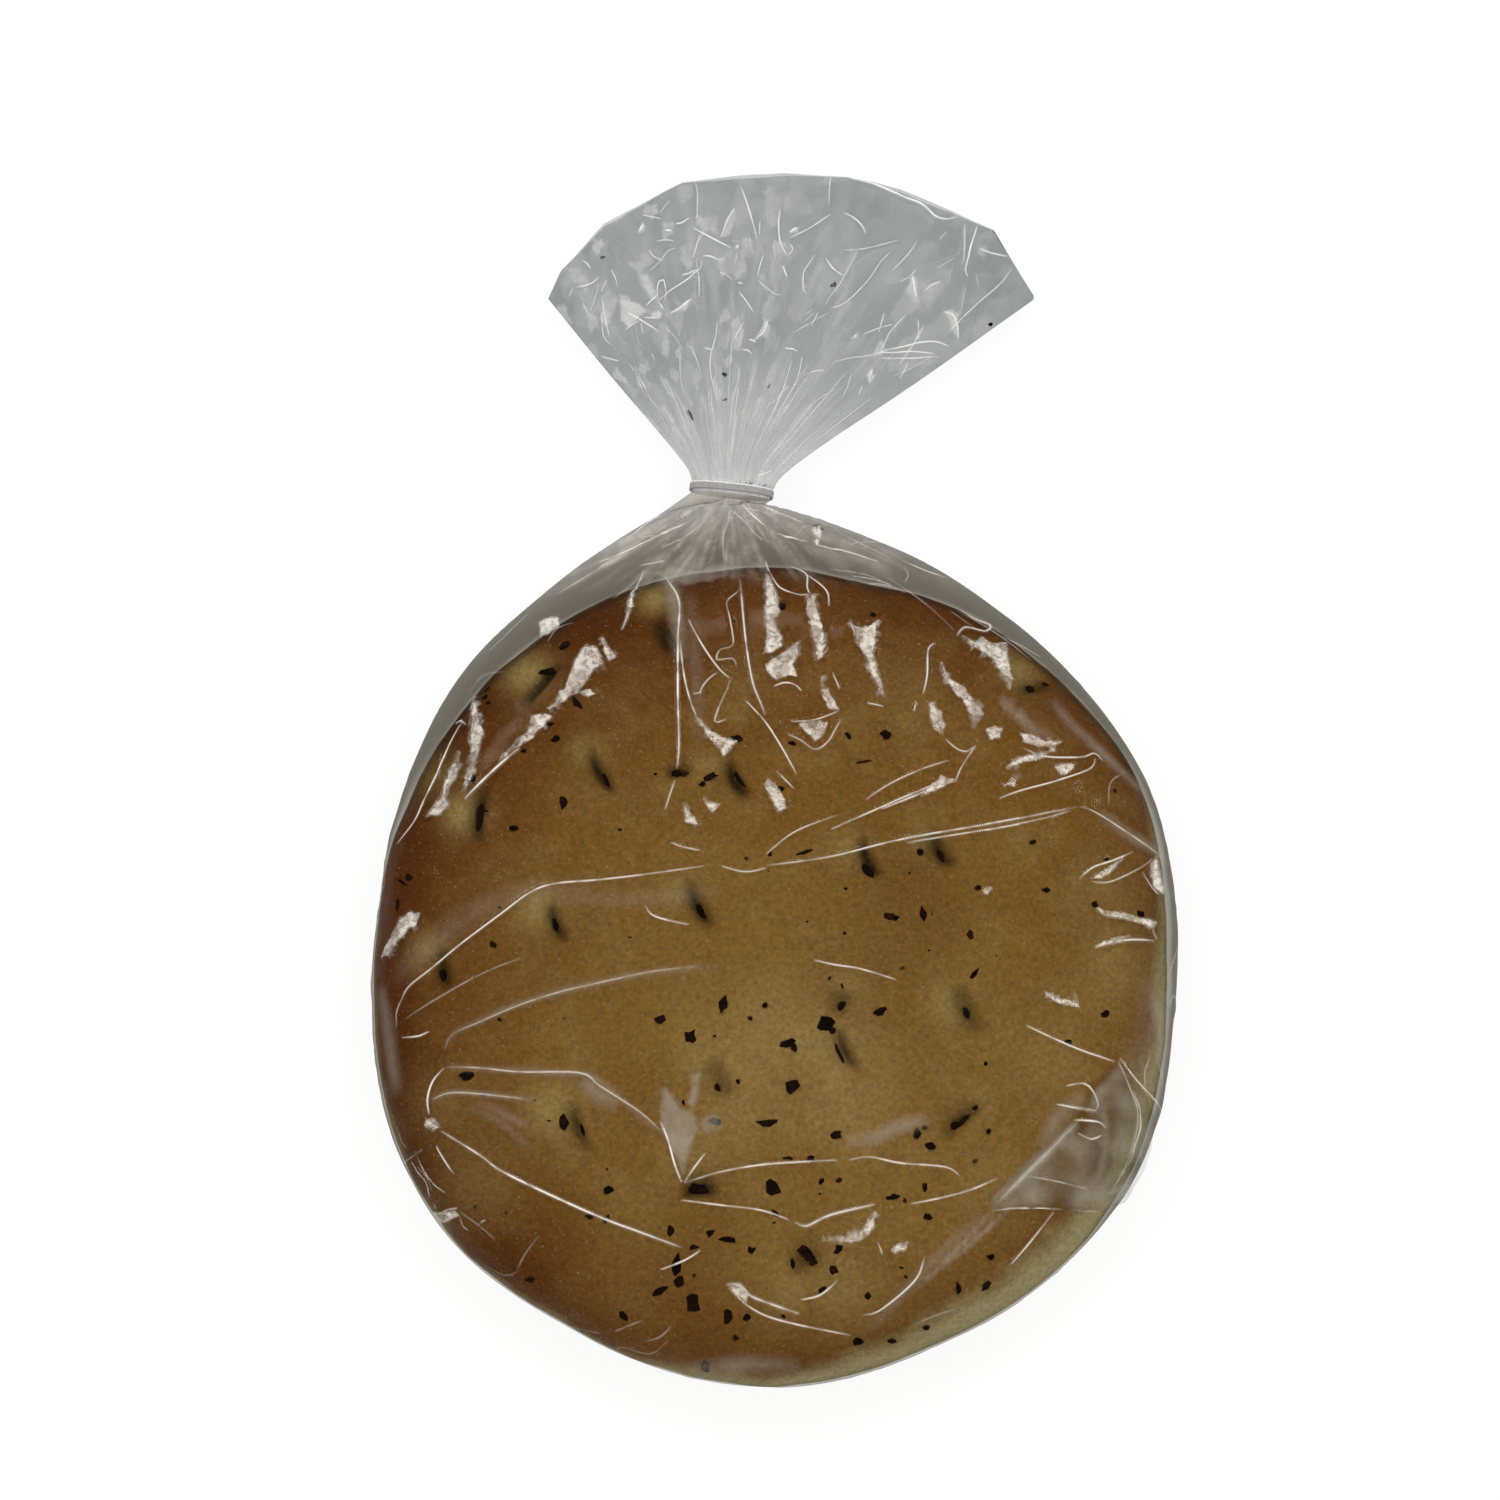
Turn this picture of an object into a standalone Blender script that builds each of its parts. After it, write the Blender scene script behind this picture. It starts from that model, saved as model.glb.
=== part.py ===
"""A round herb focaccia in a clear bag that is gathered and tied at the neck.

Metres, +Z up.  The origin is the centre of the loaf's flat underside.  The loaf lies flat, the
bag's neck points along +Y, and beyond the tie the bag's mouth spreads as a pleated fan.
The bag is one closed solid: the film's outer form over the loaf, through the neck and out to the
fan's edge.  The tie is a thin flat band round the neck.
"""
import math

import bmesh
import bpy
import numpy as np

MM = 0.001

# The loaf under the film.
LOAF_RADIUS = 119 * MM
LOAF_HEIGHT = 35.5 * MM
DOME_DROP = 5 * MM            # how much lower the crust is where the rim starts to round over
RIM_WIDTH = 22 * MM           # the rounded rim, measured inwards from the loaf's side
WIDEST_HEIGHT = 12.5 * MM     # where the film turns from the top sheet to the bottom sheet
BASE_RADIUS = 108 * MM        # the flat underside

# Fingertip dimples: place in mm, long axis in degrees from +X, length and width in mm.
DIMPLES = (
    (-73, 81, 42, 17, 8), (-35, 103, 80, 13, 7), (-91, 40, 88, 17, 7), (-53, 54, 115, 13, 7),
    (-66, 10, 88, 12, 7), (-98, -2, 95, 12, 6), (-24, 13, 112, 15, 7), (-14, 52, 75, 13, 7),
    (25, 25, 100, 12, 7), (48, 29, 108, 14, 7), (75, 82, 40, 14, 8), (54, -17, 105, 17, 8),
    (20, -30, 112, 17, 7), (19, -16, 20, 12, 6), (-17, -38, 100, 14, 8), (-56, -49, 135, 16, 8),
    (52, -49, 30, 14, 7), (-22, -68, 15, 14, 7), (12, -88, 25, 16, 7), (56, -95, 30, 14, 7),
)
DIMPLE_DEPTH = 2.0 * MM       # as far as the film follows them

# The film's outline from above: angle about the loaf's centre in degrees, radius in mm.
BAG_OUTLINE = (
    (-86, 122), (-68, 119.6), (-46, 121.6), (-30, 123), (-8, 119.6), (9, 122.2), (26, 127.3),
    (47, 129.4), (60, 132.3), (67, 135.4), (77, 138.7), (87, 144.6), (94, 148.8), (103, 149),
    (110, 143.6), (123, 136.6), (135, 133.6), (153, 125.6), (171, 120.2), (188, 120.6),
    (205, 123.6), (221, 124.3), (240, 120.8), (260, 121.8),
)
OUTLINE_SOFTNESS = 3          # degrees over which the outline's corners are rounded
LEFT_END, RIGHT_END = 96, 94  # directions of the outline's two ends, at the neck, in degrees
SLACK_FOR_TAUT = 24 * MM      # where the film stands this far off the loaf it runs straight
ROUND_SECTION = 2.0           # the film's section where it hugs the rim: a quarter circle
TAUT_SECTION = 1.2            # and where it is pulled straight to the neck

# The neck, gathered flat, and the straight stretch that the tie holds.
NECK_CENTRE = (-13.2 * MM, 152.0 * MM, 11.5 * MM)
NECK_WIDTH = 25 * MM
NECK_THICKNESS = 6 * MM
NECK_HALF_LENGTH = 2.0 * MM
NECK_TILT = math.radians(-6.5)
NECK_SQUARENESS = 2.6         # superellipse power of its section
GATHER_START = 104 * MM       # pleats start here, on the way to the neck

# The mouth's edge, in mm, left to right, and the run of the fan's two sides.
MOUTH_OUTLINE = (
    (-74, 222), (-70, 232), (-56, 249), (-30, 265), (3, 268), (25, 267), (43, 262), (74, 247), (87, 222),
)
FAN_WAIST = 0.04              # share of the fan's length that stays as narrow as the neck
FAN_WAIST_SOFTNESS = 0.05
FAN_THICKNESS = 2.8 * MM
FAN_PUFF = 2.2 * MM           # how far the two sheets stand apart between pleats
FAN_EDGE = 0.9 * MM
FAN_HEIGHT = 6.4 * MM         # middle height of the fan where it rests
PLEAT_DEPTH = 3.3 * MM
SHOULDER_PLEAT_DEPTH = 1.3 * MM
PLEATS = ((8.3, 0.55, 0.4), (13.7, 0.3, 1.9), (5.1, 0.3, 4.2))   # turns across, share, phase

# The tie.
TIE_WIDTH = 2.4 * MM
TIE_THICKNESS = 0.7 * MM
TIE_GAP = 0.3 * MM
TIE_SEGMENTS = 48

# Mesh steps.
COLUMNS = 56                  # across the top sheet, and as many across the bottom one
BODY_RINGS = 36
END_TURN = math.radians(4.5)  # the first ring's place round the outline, from its nearest point
SHOULDER_RINGS = 7
FAN_RINGS = 10
OUTLINE_STEPS = 240
SHOULDER_START = 116 * MM
SHOULDER_END = 146 * MM

CRUST = (0.22, 0.12, 0.032, 1.0)
CLEAR_BAND = (0.72, 0.72, 0.70, 1.0)


def smoothstep(low, high, value):
    """0 below low, 1 above high, and a smooth turn between them."""
    share = min(max((value - low) / (high - low), 0.0), 1.0)
    return share * share * (3.0 - 2.0 * share)


def mix(start, end, share):
    return start + (end - start) * share


# ---------------------------------------------------------------- the film's form over the loaf

def bag_radius(angle):
    """The film's silhouette radius in a direction about the loaf's centre."""
    angles = [point[0] for point in BAG_OUTLINE]
    radii = [point[1] for point in BAG_OUTLINE]
    degrees = math.degrees(angle)
    around = (degrees - OUTLINE_SOFTNESS, degrees, degrees + OUTLINE_SOFTNESS)
    return float(np.mean(np.interp(around, angles, radii, period=360))) * MM


def section_power(edge):
    """How square the film's section is, from hugging the loaf to pulled straight."""
    slack = (edge - LOAF_RADIUS) / SLACK_FOR_TAUT
    return mix(ROUND_SECTION, TAUT_SECTION, min(max(slack, 0.0), 1.0))


def dimple_drop(x, y):
    """Depth of the fingertip dimples at a place on the crust."""
    drop = 0.0
    for place_x, place_y, turn, length, width in DIMPLES:
        along_x = math.cos(math.radians(turn))
        along_y = math.sin(math.radians(turn))
        off_x = x - place_x * MM
        off_y = y - place_y * MM
        along = (off_x * along_x + off_y * along_y) / (length * MM / 2)
        across = (off_y * along_x - off_x * along_y) / (width * MM / 2)
        drop += DIMPLE_DEPTH * math.exp(-(along * along + across * across))
    return drop


def top_sheet(x, y):
    """Height of the film above the loaf."""
    radius = math.hypot(x, y)
    edge = bag_radius(math.atan2(y, x))
    rim_start = LOAF_RADIUS - RIM_WIDTH
    crown = LOAF_HEIGHT - DOME_DROP * min(radius / rim_start, 1.0) ** 2
    share = min(max((radius - rim_start) / (edge - rim_start), 0.0), 1.0)
    power = section_power(edge)
    fall = (1.0 - share ** power) ** (1.0 / power)
    return WIDEST_HEIGHT + (crown - WIDEST_HEIGHT) * fall - dimple_drop(x, y)


def bottom_sheet(x, y):
    """Height of the film under the loaf: flat on the ground, then up to the silhouette."""
    radius = math.hypot(x, y)
    edge = bag_radius(math.atan2(y, x))
    share = min(max((radius - BASE_RADIUS) / (edge - BASE_RADIUS), 0.0), 1.0)
    power = section_power(edge)
    return WIDEST_HEIGHT * (1.0 - (1.0 - share ** power) ** (1.0 / power))


def outline_sides():
    """The outline as two runs of points, left and right, each rising along Y."""
    sides = []
    for first, last in ((270, LEFT_END), (-90, RIGHT_END)):
        angles = np.radians(np.linspace(first, last, OUTLINE_STEPS))
        radii = np.array([bag_radius(angle) for angle in angles])
        sides.append((radii * np.cos(angles), radii * np.sin(angles)))
    return sides


# ---------------------------------------------------------------- pleats, neck and fan

def pleat(share):
    """Height of the gathered pleats across the bag, from -1 to 1, for share from -1 to 1."""
    return sum(part * math.sin(turns * math.pi * share + phase) for turns, part, phase in PLEATS)


def neck_section(share):
    """Half thickness of the flat gather at a share of its half width."""
    return NECK_THICKNESS / 2 * (1.0 - abs(share) ** NECK_SQUARENESS) ** (1.0 / NECK_SQUARENESS)


def neck_point(share, along):
    """A place on the neck's middle sheet; along runs towards the mouth from the tie."""
    across = share * NECK_WIDTH / 2
    x = NECK_CENTRE[0] + across * math.cos(NECK_TILT) - along * math.sin(NECK_TILT)
    y = NECK_CENTRE[1] + across * math.sin(NECK_TILT) + along * math.cos(NECK_TILT)
    return x, y


def mouth_point(share):
    """A place on the mouth's edge, by its share of the edge's length from -1 to 1."""
    corners = np.array(MOUTH_OUTLINE) * MM
    lengths = np.concatenate(([0.0], np.cumsum(np.linalg.norm(np.diff(corners, axis=0), axis=1))))
    run = (share + 1.0) / 2 * lengths[-1]
    return np.interp(run, lengths, corners[:, 0]), np.interp(run, lengths, corners[:, 1])


def spread(run):
    """How far the fan has opened sideways at a share of its length."""
    past = (run - FAN_WAIST) / (1.0 - FAN_WAIST)
    return 0.5 * (past + math.sqrt(past * past + FAN_WAIST_SOFTNESS ** 2))


def ring_shares():
    """Shares across the bag from -1 to 1: along the top sheet, then back along the bottom."""
    forth = [-1.0 + 2.0 * step / COLUMNS for step in range(COLUMNS + 1)]
    return [(share, True) for share in forth] + [(share, False) for share in reversed(forth[1:-1])]


def body_ring(y, sides):
    """One ring of the bag across the loaf or its shoulders."""
    (left_x, left_y), (right_x, right_y) = sides
    left = float(np.interp(y, left_y, left_x))
    right = float(np.interp(y, right_y, right_x))
    gathering = smoothstep(GATHER_START, SHOULDER_END, y)
    points = []
    for share, on_top in ring_shares():
        bowed = mix(math.sin(share * math.pi / 2), share, gathering)
        x = mix(left, right, (bowed + 1.0) / 2)
        sheet = top_sheet(x, y) if on_top else bottom_sheet(x, y)
        height = mix(sheet, NECK_CENTRE[2], 0.5 * gathering) if gathering > 0 else sheet
        thickness = neck_section(share) * gathering ** 2
        folds = SHOULDER_PLEAT_DEPTH * pleat(share) * gathering * (1.0 - share * share)
        height += thickness + folds if on_top else -thickness
        points.append((x, y, height))
    return points


def neck_ring(along):
    """One ring of the straight stretch under the tie."""
    points = []
    for share, on_top in ring_shares():
        x, y = neck_point(share, along)
        height = neck_section(share)
        points.append((x, y, NECK_CENTRE[2] + (height if on_top else -height)))
    return points


def fan_ring(run):
    """One ring of the fan, at a share of the way from the neck to the mouth's edge."""
    opening = smoothstep(0.0, 0.45, run)
    settle = smoothstep(0.0, 0.7, run)
    points = []
    for share, on_top in ring_shares():
        start_x, start_y = neck_point(share, NECK_HALF_LENGTH)
        end_x, end_y = mouth_point(share)
        x = mix(start_x, end_x, spread(run) / spread(1.0))
        y = mix(start_y, end_y, run)
        puff = FAN_PUFF * (0.5 + 0.5 * math.sin(11.0 * share + 3.0 * run))
        half = (FAN_THICKNESS + puff) / 2 * (1.0 - share ** 4) + FAN_EDGE / 2
        half = mix(neck_section(share), half, opening)
        middle = mix(NECK_CENTRE[2], FAN_HEIGHT, settle) + PLEAT_DEPTH * pleat(share) * opening
        points.append((x, y, middle + (half if on_top else -half)))
    return points


# ---------------------------------------------------------------- objects

def clear_scene():
    for item in list(bpy.data.objects):
        bpy.data.objects.remove(item, do_unlink=True)


def new_collection(name):
    collection = bpy.data.collections.new(name)
    bpy.context.scene.collection.children.link(collection)
    return collection


def new_material(name, colour, roughness):
    material = bpy.data.materials.new(name)
    material.use_nodes = True
    shader = material.node_tree.nodes["Principled BSDF"]
    shader.inputs["Base Color"].default_value = colour
    shader.inputs["Roughness"].default_value = roughness
    shader.inputs["Metallic"].default_value = 0.0
    return material


def new_object(name, mesh_maker, collection, material):
    """Fill a new mesh object from a bmesh and put it in the collection."""
    mesh = bpy.data.meshes.new(name)
    mesh_maker.to_mesh(mesh)
    mesh_maker.free()
    mesh.materials.append(material)
    mesh.shade_smooth()
    item = bpy.data.objects.new(name, mesh)
    collection.objects.link(item)
    return item


def loft(rings):
    """Join closed rings of equal length with quads and close both ends, faces outward."""
    shape = bmesh.new()
    rows = [[shape.verts.new(point) for point in ring] for ring in rings]
    for low, high in zip(rows, rows[1:]):
        for index in range(len(low)):
            following = (index + 1) % len(low)
            shape.faces.new((low[index], low[following], high[following], high[index]))
    shape.faces.new(rows[0][::-1])
    shape.faces.new(rows[-1])
    return shape


def merge_underside(shape):
    """Make the flat underside one face."""
    flat = [face for face in shape.faces if all(vert.co.z < 0.01 * MM for vert in face.verts)]
    bmesh.ops.dissolve_faces(shape, faces=flat, use_verts=True)


def make_bag(collection):
    sides = outline_sides()
    near_radius = bag_radius(-math.pi / 2)
    last_turn = math.acos(-SHOULDER_START / near_radius)
    rings = []
    for step in range(BODY_RINGS):
        turn = mix(END_TURN, last_turn, step / (BODY_RINGS - 1))
        rings.append(body_ring(-near_radius * math.cos(turn), sides))
    for step in range(1, SHOULDER_RINGS + 1):
        rings.append(body_ring(mix(SHOULDER_START, SHOULDER_END, step / SHOULDER_RINGS), sides))
    for along in (-NECK_HALF_LENGTH, 0.0, NECK_HALF_LENGTH):
        rings.append(neck_ring(along))
    for step in range(1, FAN_RINGS + 1):
        rings.append(fan_ring(step / FAN_RINGS))
    shape = loft(rings)
    merge_underside(shape)
    new_object("bag", shape, collection, new_material("crust under film", CRUST, 0.35))


def make_tie(collection):
    """A band round the neck: an open strip, thickened outwards."""
    shape = bmesh.new()
    power = 2.0 / NECK_SQUARENESS
    rows = []
    for along in (-TIE_WIDTH / 2, TIE_WIDTH / 2):
        row = []
        for step in range(TIE_SEGMENTS):
            turn = 2 * math.pi * step / TIE_SEGMENTS
            cosine = math.cos(turn)
            sine = math.sin(turn)
            across = math.copysign(abs(cosine) ** power, cosine) * (NECK_WIDTH / 2 + TIE_GAP)
            height = math.copysign(abs(sine) ** power, sine) * (NECK_THICKNESS / 2 + TIE_GAP)
            row.append(shape.verts.new((across, along, height)))
        rows.append(row)
    for index in range(TIE_SEGMENTS):
        following = (index + 1) % TIE_SEGMENTS
        shape.faces.new((rows[0][index], rows[0][following], rows[1][following], rows[1][index]))
    bmesh.ops.recalc_face_normals(shape, faces=shape.faces)
    tie = new_object("neck_tie", shape, collection, new_material("clear band", CLEAR_BAND, 0.25))
    tie.location = NECK_CENTRE
    tie.rotation_euler = (0.0, 0.0, NECK_TILT)
    thicken = tie.modifiers.new("thickness", "SOLIDIFY")
    thicken.thickness = TIE_THICKNESS
    thicken.offset = 1.0
    thicken.use_even_offset = True


def main():
    clear_scene()
    collection = new_collection("focaccia in a bag")
    make_bag(collection)
    make_tie(collection)


main()
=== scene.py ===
"""Looks of a round herb focaccia in a clear bag that is gathered and tied at the neck.

Lengths are in millimetres until a mesh is made; +Z is up and the neck points along +Y.
The film is made of pieces, each triangulated from scattered points on unrolled sheets, with
rows of points along each crease, so that creases stay crisp.  The loaf and its herbs lie inside.
"""

import math
import random
from functools import cached_property, partial

import bpy
import numpy as np
from mathutils import Euler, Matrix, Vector, noise
from mathutils.geometry import delaunay_2d_cdt
from mathutils.kdtree import KDTree

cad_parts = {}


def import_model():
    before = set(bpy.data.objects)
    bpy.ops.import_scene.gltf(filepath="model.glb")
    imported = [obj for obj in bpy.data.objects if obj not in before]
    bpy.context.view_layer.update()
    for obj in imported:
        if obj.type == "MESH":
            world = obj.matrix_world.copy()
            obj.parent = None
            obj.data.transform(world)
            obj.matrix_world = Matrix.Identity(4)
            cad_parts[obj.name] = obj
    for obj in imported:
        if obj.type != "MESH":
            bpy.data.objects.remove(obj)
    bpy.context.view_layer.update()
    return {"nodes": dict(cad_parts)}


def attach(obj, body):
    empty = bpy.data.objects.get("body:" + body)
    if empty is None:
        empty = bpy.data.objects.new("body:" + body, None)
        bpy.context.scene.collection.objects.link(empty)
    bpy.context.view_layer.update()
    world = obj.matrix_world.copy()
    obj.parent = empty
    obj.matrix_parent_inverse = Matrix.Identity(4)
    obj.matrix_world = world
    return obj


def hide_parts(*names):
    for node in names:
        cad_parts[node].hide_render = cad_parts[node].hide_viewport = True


# ---------------------------------------------------------------- sizes, as in the CAD

MM = 0.001

FILM_TOP = 35.5
DOME_DROP = 5.0               # how much lower the crust is where the rim starts to round over
RIM_START = 97.0              # radius where the rim starts
MIDDLE_HEIGHT = 12.5          # where the film turns from the top sheet to the bottom sheet
BASE_RADIUS = 108.0           # the flat underside
SNUG_RADIUS, SLACK_FOR_TAUT = 119.0, 24.0
ROUND_SECTION, TAUT_SECTION = 2.0, 1.2

# The film's outline from above: angle about the loaf's centre in degrees, radius.
BAG_OUTLINE = (
    (-86, 122), (-68, 119.6), (-46, 121.6), (-30, 123), (-8, 119.6), (9, 122.2), (26, 127.3), (47, 129.4),
    (60, 132.3), (67, 135.4), (77, 138.7), (87, 144.6), (94, 148.8), (103, 149), (110, 143.6), (123, 136.6),
    (135, 133.6), (153, 125.6), (171, 120.2), (188, 120.6), (205, 123.6), (221, 124.3), (240, 120.8),
    (260, 121.8),
)
OUTLINE_SOFTNESS = 3
NECK_FIRST, NECK_LAST = 91.0, 105.0       # directions between which the sheets run into the neck

# The neck, the stretch over which the film gathers towards it, and its tie.
NECK_CENTRE = (-13.2, 152.0, 11.5)
NECK_WIDTH, NECK_THICKNESS, NECK_HALF_LENGTH = 25.0, 6.0, 2.0
NECK_TILT = math.radians(-6.5)
NECK_SQUARENESS = 2.6
GATHER_START, GATHER_END = 104.0, 146.0
TIE_HALF_WIDTH = 1.2

# The fan: its mouth's edge from above, how it opens, and its pleats and those of the shoulder.
MOUTH_OUTLINE = (
    (-74, 222), (-70, 232), (-56, 249), (-30, 265), (3, 268), (25, 267), (43, 262), (74, 247), (87, 222),
)
FAN_WAIST, FAN_WAIST_SOFTNESS = 0.04, 0.05
FAN_HEIGHT = 6.4
FAN_PUFF = 1.1
FAN_HALF, FAN_LENGTH = 99.0, 112.0        # half of the mouth's edge and the way to it, unrolled
PLEATS = ((8.3, 0.55, 0.4), (13.7, 0.3, 1.9), (5.1, 0.3, 4.2))   # turns across, share, phase
FINE_PLEATS = ((27.0, 0.5, 0.3), (41.0, 0.3, 2.2), (19.0, 0.4, 1.1))
SHOULDER_PLEAT, SHOULDER_FINE_PLEAT = 1.3, 0.55                  # how deep they are
FAN_PLEAT, FAN_FINE_PLEAT = 2.6, 0.7

# Tables of a sheet's sections: directions, steps over its flat part and its rim, and shares of a section.
SHEET_DIRECTIONS, SHEET_FLAT_STEPS, SHEET_RIM_STEPS, SHEET_SHARES = 721, 60, 140, 320

# The loaf inside, a little smaller than the film: its outline from above as angles and radii.
LOAF_TOP = 34.6
LOAF_OUTLINE = (
    (-88, 121.5), (-68, 119.2), (-50, 121), (-30, 121), (-15, 118.5), (-2, 117.2), (9, 119.3), (20, 123.2),
    (32, 125.6), (48, 124.5), (62, 125.5), (76, 122.8), (88, 125.4), (97, 125.4), (106, 126), (120, 125.4),
    (138, 124.5), (150, 122.8), (164, 121.0), (178, 119.8), (190, 120.4), (206, 123.1), (222, 123.8),
    (240, 120.4), (258, 121.3),
)
LOAF_CLEARANCE = 0.5
LOAF_BASE_RADIUS, LOAF_BASE_HEIGHT = 106.0, 0.35
LOAF_GRID = 276               # cells across the crust
LOAF_SIDE_ROWS = 9
LOAF_SECTION = 1.9
DIMPLE_DEPTH, SLIT_DEPTH = 3.6, 1.8

# The film's meshes.
FILM_GAP, FILM_LEAST_GAP = 0.9, 0.2       # between the loaf's crust and the film
FILM_OVER_LOAF = 0.8
FLOOR_GAP = 0.25
BODY_SPACING, UNDER_SPACING, FAN_SPACING, CREASE_SPACING = 1.2, 2.6, 1.1, 0.8
EDGE_POINTS = 900
THROAT_ROWS, THROAT_COLUMNS = 8, 160
ROW_OFFSETS = (-1.5, -0.9, -0.4, 0.0, 0.4, 0.9, 1.5)             # rows of points beside a crease
FLAP_LIFT = 1.4

# Stretches along Y: where the film leaves the loaf for the neck, where the shoulder gets its painted sheen,
# where its folds flatten towards the tie, and where the loaf's near and far sides lie.
SHOULDER, WHITE_SHOULDER, TIE_APPROACH = (92.0, 128.0), (112.0, 128.0), (136.0, 149.0)
NEAR_SIDE, FAR_SIDE = (-95.0, -50.0), (35.0, 75.0)
# Stretches as shares of the way from a sheet's centre to its edge: where its rim sets in and ends, and
# where unevenness fades out so that edges stay joined.
RIM_SETS_IN, RIM_ENDS, EDGE_FADE = (0.62, 0.86), (0.97, 1.0), (0.985, 1.0)

# Creases: how high one of strength 1 stands, how far from its line its painted highlight reaches, how many
# are drawn.
CREASE_LIFT = 0.6
CREST_LEAST, CREST_SPREAD = 0.13, 0.31
RIM_CREASES, SHOULDER_CREASES, FAN_RAYS, FAN_CRINKLES = 30, 22, 34, 60
CRUMPLE_MIDDLE, CRUMPLE_RIM, CRUMPLE_FAN = 0.12, 0.45, 0.06      # unevenness between them

# Glints: how far outside a facet the film runs back to its place, then their relief and look, with their
# painted highlight.
GLINT_EDGE, GLINT_RELIEF, GLINT_SPACING, GLINT_PAINTED_HIGHLIGHT = 1.7, 0.026, 0.6, 0.40

# Painted highlight of the film at the neck, throat and shoulder, its milk, the fan's tint, and painted sheen
# on the fan's facets.
NECK_PAINTED_HIGHLIGHT, THROAT_PAINTED_HIGHLIGHT, SHOULDER_PAINTED_SHEEN = 0.30, 0.08, 0.25
THROAT_MILK = 0.55
FAN_SMOKE = 0.80
SMALL_FACET, LARGE_FACET = 4.6, 10.0
# Painted sheen: how much whiter the fan's facets are made.
SMALL_FACET_PAINTED_SHEEN, LARGE_FACET_PAINTED_SHEEN = 0.50, 0.24   # how much whiter they are

SMALL_FLAKES = 45             # herb flakes that are drawn at random


# ---------------------------------------------------------------- camera and softboxes

PIXEL = 0.302                 # a pixel of the picture, on the loaf
PICTURE_SIZE = 1500           # the tables below name places by their pixels in this square picture
CAMERA_ELEVATION = math.radians(75.0)
CAMERA_LENS, CAMERA_SENSOR = 50.0, 36.0
CAMERA_TARGET = Vector((-7.3, 64.0, 20.0))
CAMERA_DISTANCE = 634.4
CAMERA_BACK = Vector((0.0, -math.cos(CAMERA_ELEVATION), math.sin(CAMERA_ELEVATION)))
CAMERA_UP = Vector((0.0, math.sin(CAMERA_ELEVATION), math.cos(CAMERA_ELEVATION)))
CAMERA_PLACE = CAMERA_TARGET + CAMERA_BACK * CAMERA_DISTANCE

# Softboxes that the film mirrors and wide ones that it doesn't: compass angle about the object and
# elevation, width and height in metres, brightness.
KEY_BOXES = tuple((compass, elevation, width, 0.18, 7.0)
                  for compass, elevation, width in ((90, 52, 0.24), (136, 50, 0.20), (44, 50, 0.20)))
FILL_BOXES = tuple((compass, 45, 0.50, 0.50, 3.9) for compass in range(0, 360, 60))
SOFTBOX_DISTANCE = 1150.0
SOFTBOX_CENTRE = Vector((-7.0, 40.0, 20.0))
WORLD_LIGHT = 0.05
FLOOR_TONE, FLOOR_GLOW = 0.15, 0.86
FLOOR_HALF = 4000.0


# ---------------------------------------------------------------- colours and finishes

# The crust from its pale middle to its rim (partly painted shade there), the dough of its side, and what lies
# in
# and round the dimples: pale halos and painted shade in the slits; then pale specks.
TAN = (0.246, 0.137, 0.031)
TAN_LIGHT = (0.325, 0.215, 0.070)
TAN_WARM = (0.202, 0.094, 0.017)
TAN_DEEP = (0.150, 0.062, 0.010)
BROWN = (0.116, 0.037, 0.005)
BROWN_DEEP = (0.083, 0.021, 0.002)
DOUGH = (0.400, 0.330, 0.150)
HALO = (0.330, 0.240, 0.078)
SLIT_SHADE = (0.026, 0.017, 0.007)
PALE_SPECKS = (0.500, 0.400, 0.260)
HERB_TONES = ((0.0, (0.006, 0.003, 0.002)), (0.65, (0.014, 0.006, 0.003)),
              (0.85, (0.040, 0.015, 0.005)), (1.0, (0.050, 0.040, 0.012)))
# The tie's grey, then a painted highlight along its far edge.
TIE_TONES_AND_HIGHLIGHT = ((0.0, (0.33, 0.32, 0.305)), (0.78, (0.33, 0.32, 0.305)), (0.88, (0.74, 0.73, 0.71)))
MATTE_SPECULAR = 0.1
FILM_CLEARNESS = 0.84         # light that one layer lets through
FILM_SHINE = 0.008            # share mirrored when looked at squarely
GLINT_SHINE = 0.042           # the same in the glints
GRAZING_SHINE = 0.10          # share mirrored when looked at along the film
# Roughness, strength of the fine crinkling, tint of gloss and painted highlight, least light let through,
# cloudiness's colour.
# In the clear film the least light is painted shade beyond the loaf's edge; in the crinkled film it is the
# film's tint.
CLEAR_FILM = (0.05, 0.30, (1.0, 0.94, 0.84, 1.0), (0.385, 0.367, 0.328), (0.53, 0.475, 0.39, 1.0))
CRINKLED_FILM = (0.13, 0.25, (1.0, 1.0, 0.99, 1.0), (0.505, 0.51, 0.51), (0.80, 0.80, 0.79, 1.0))
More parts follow.
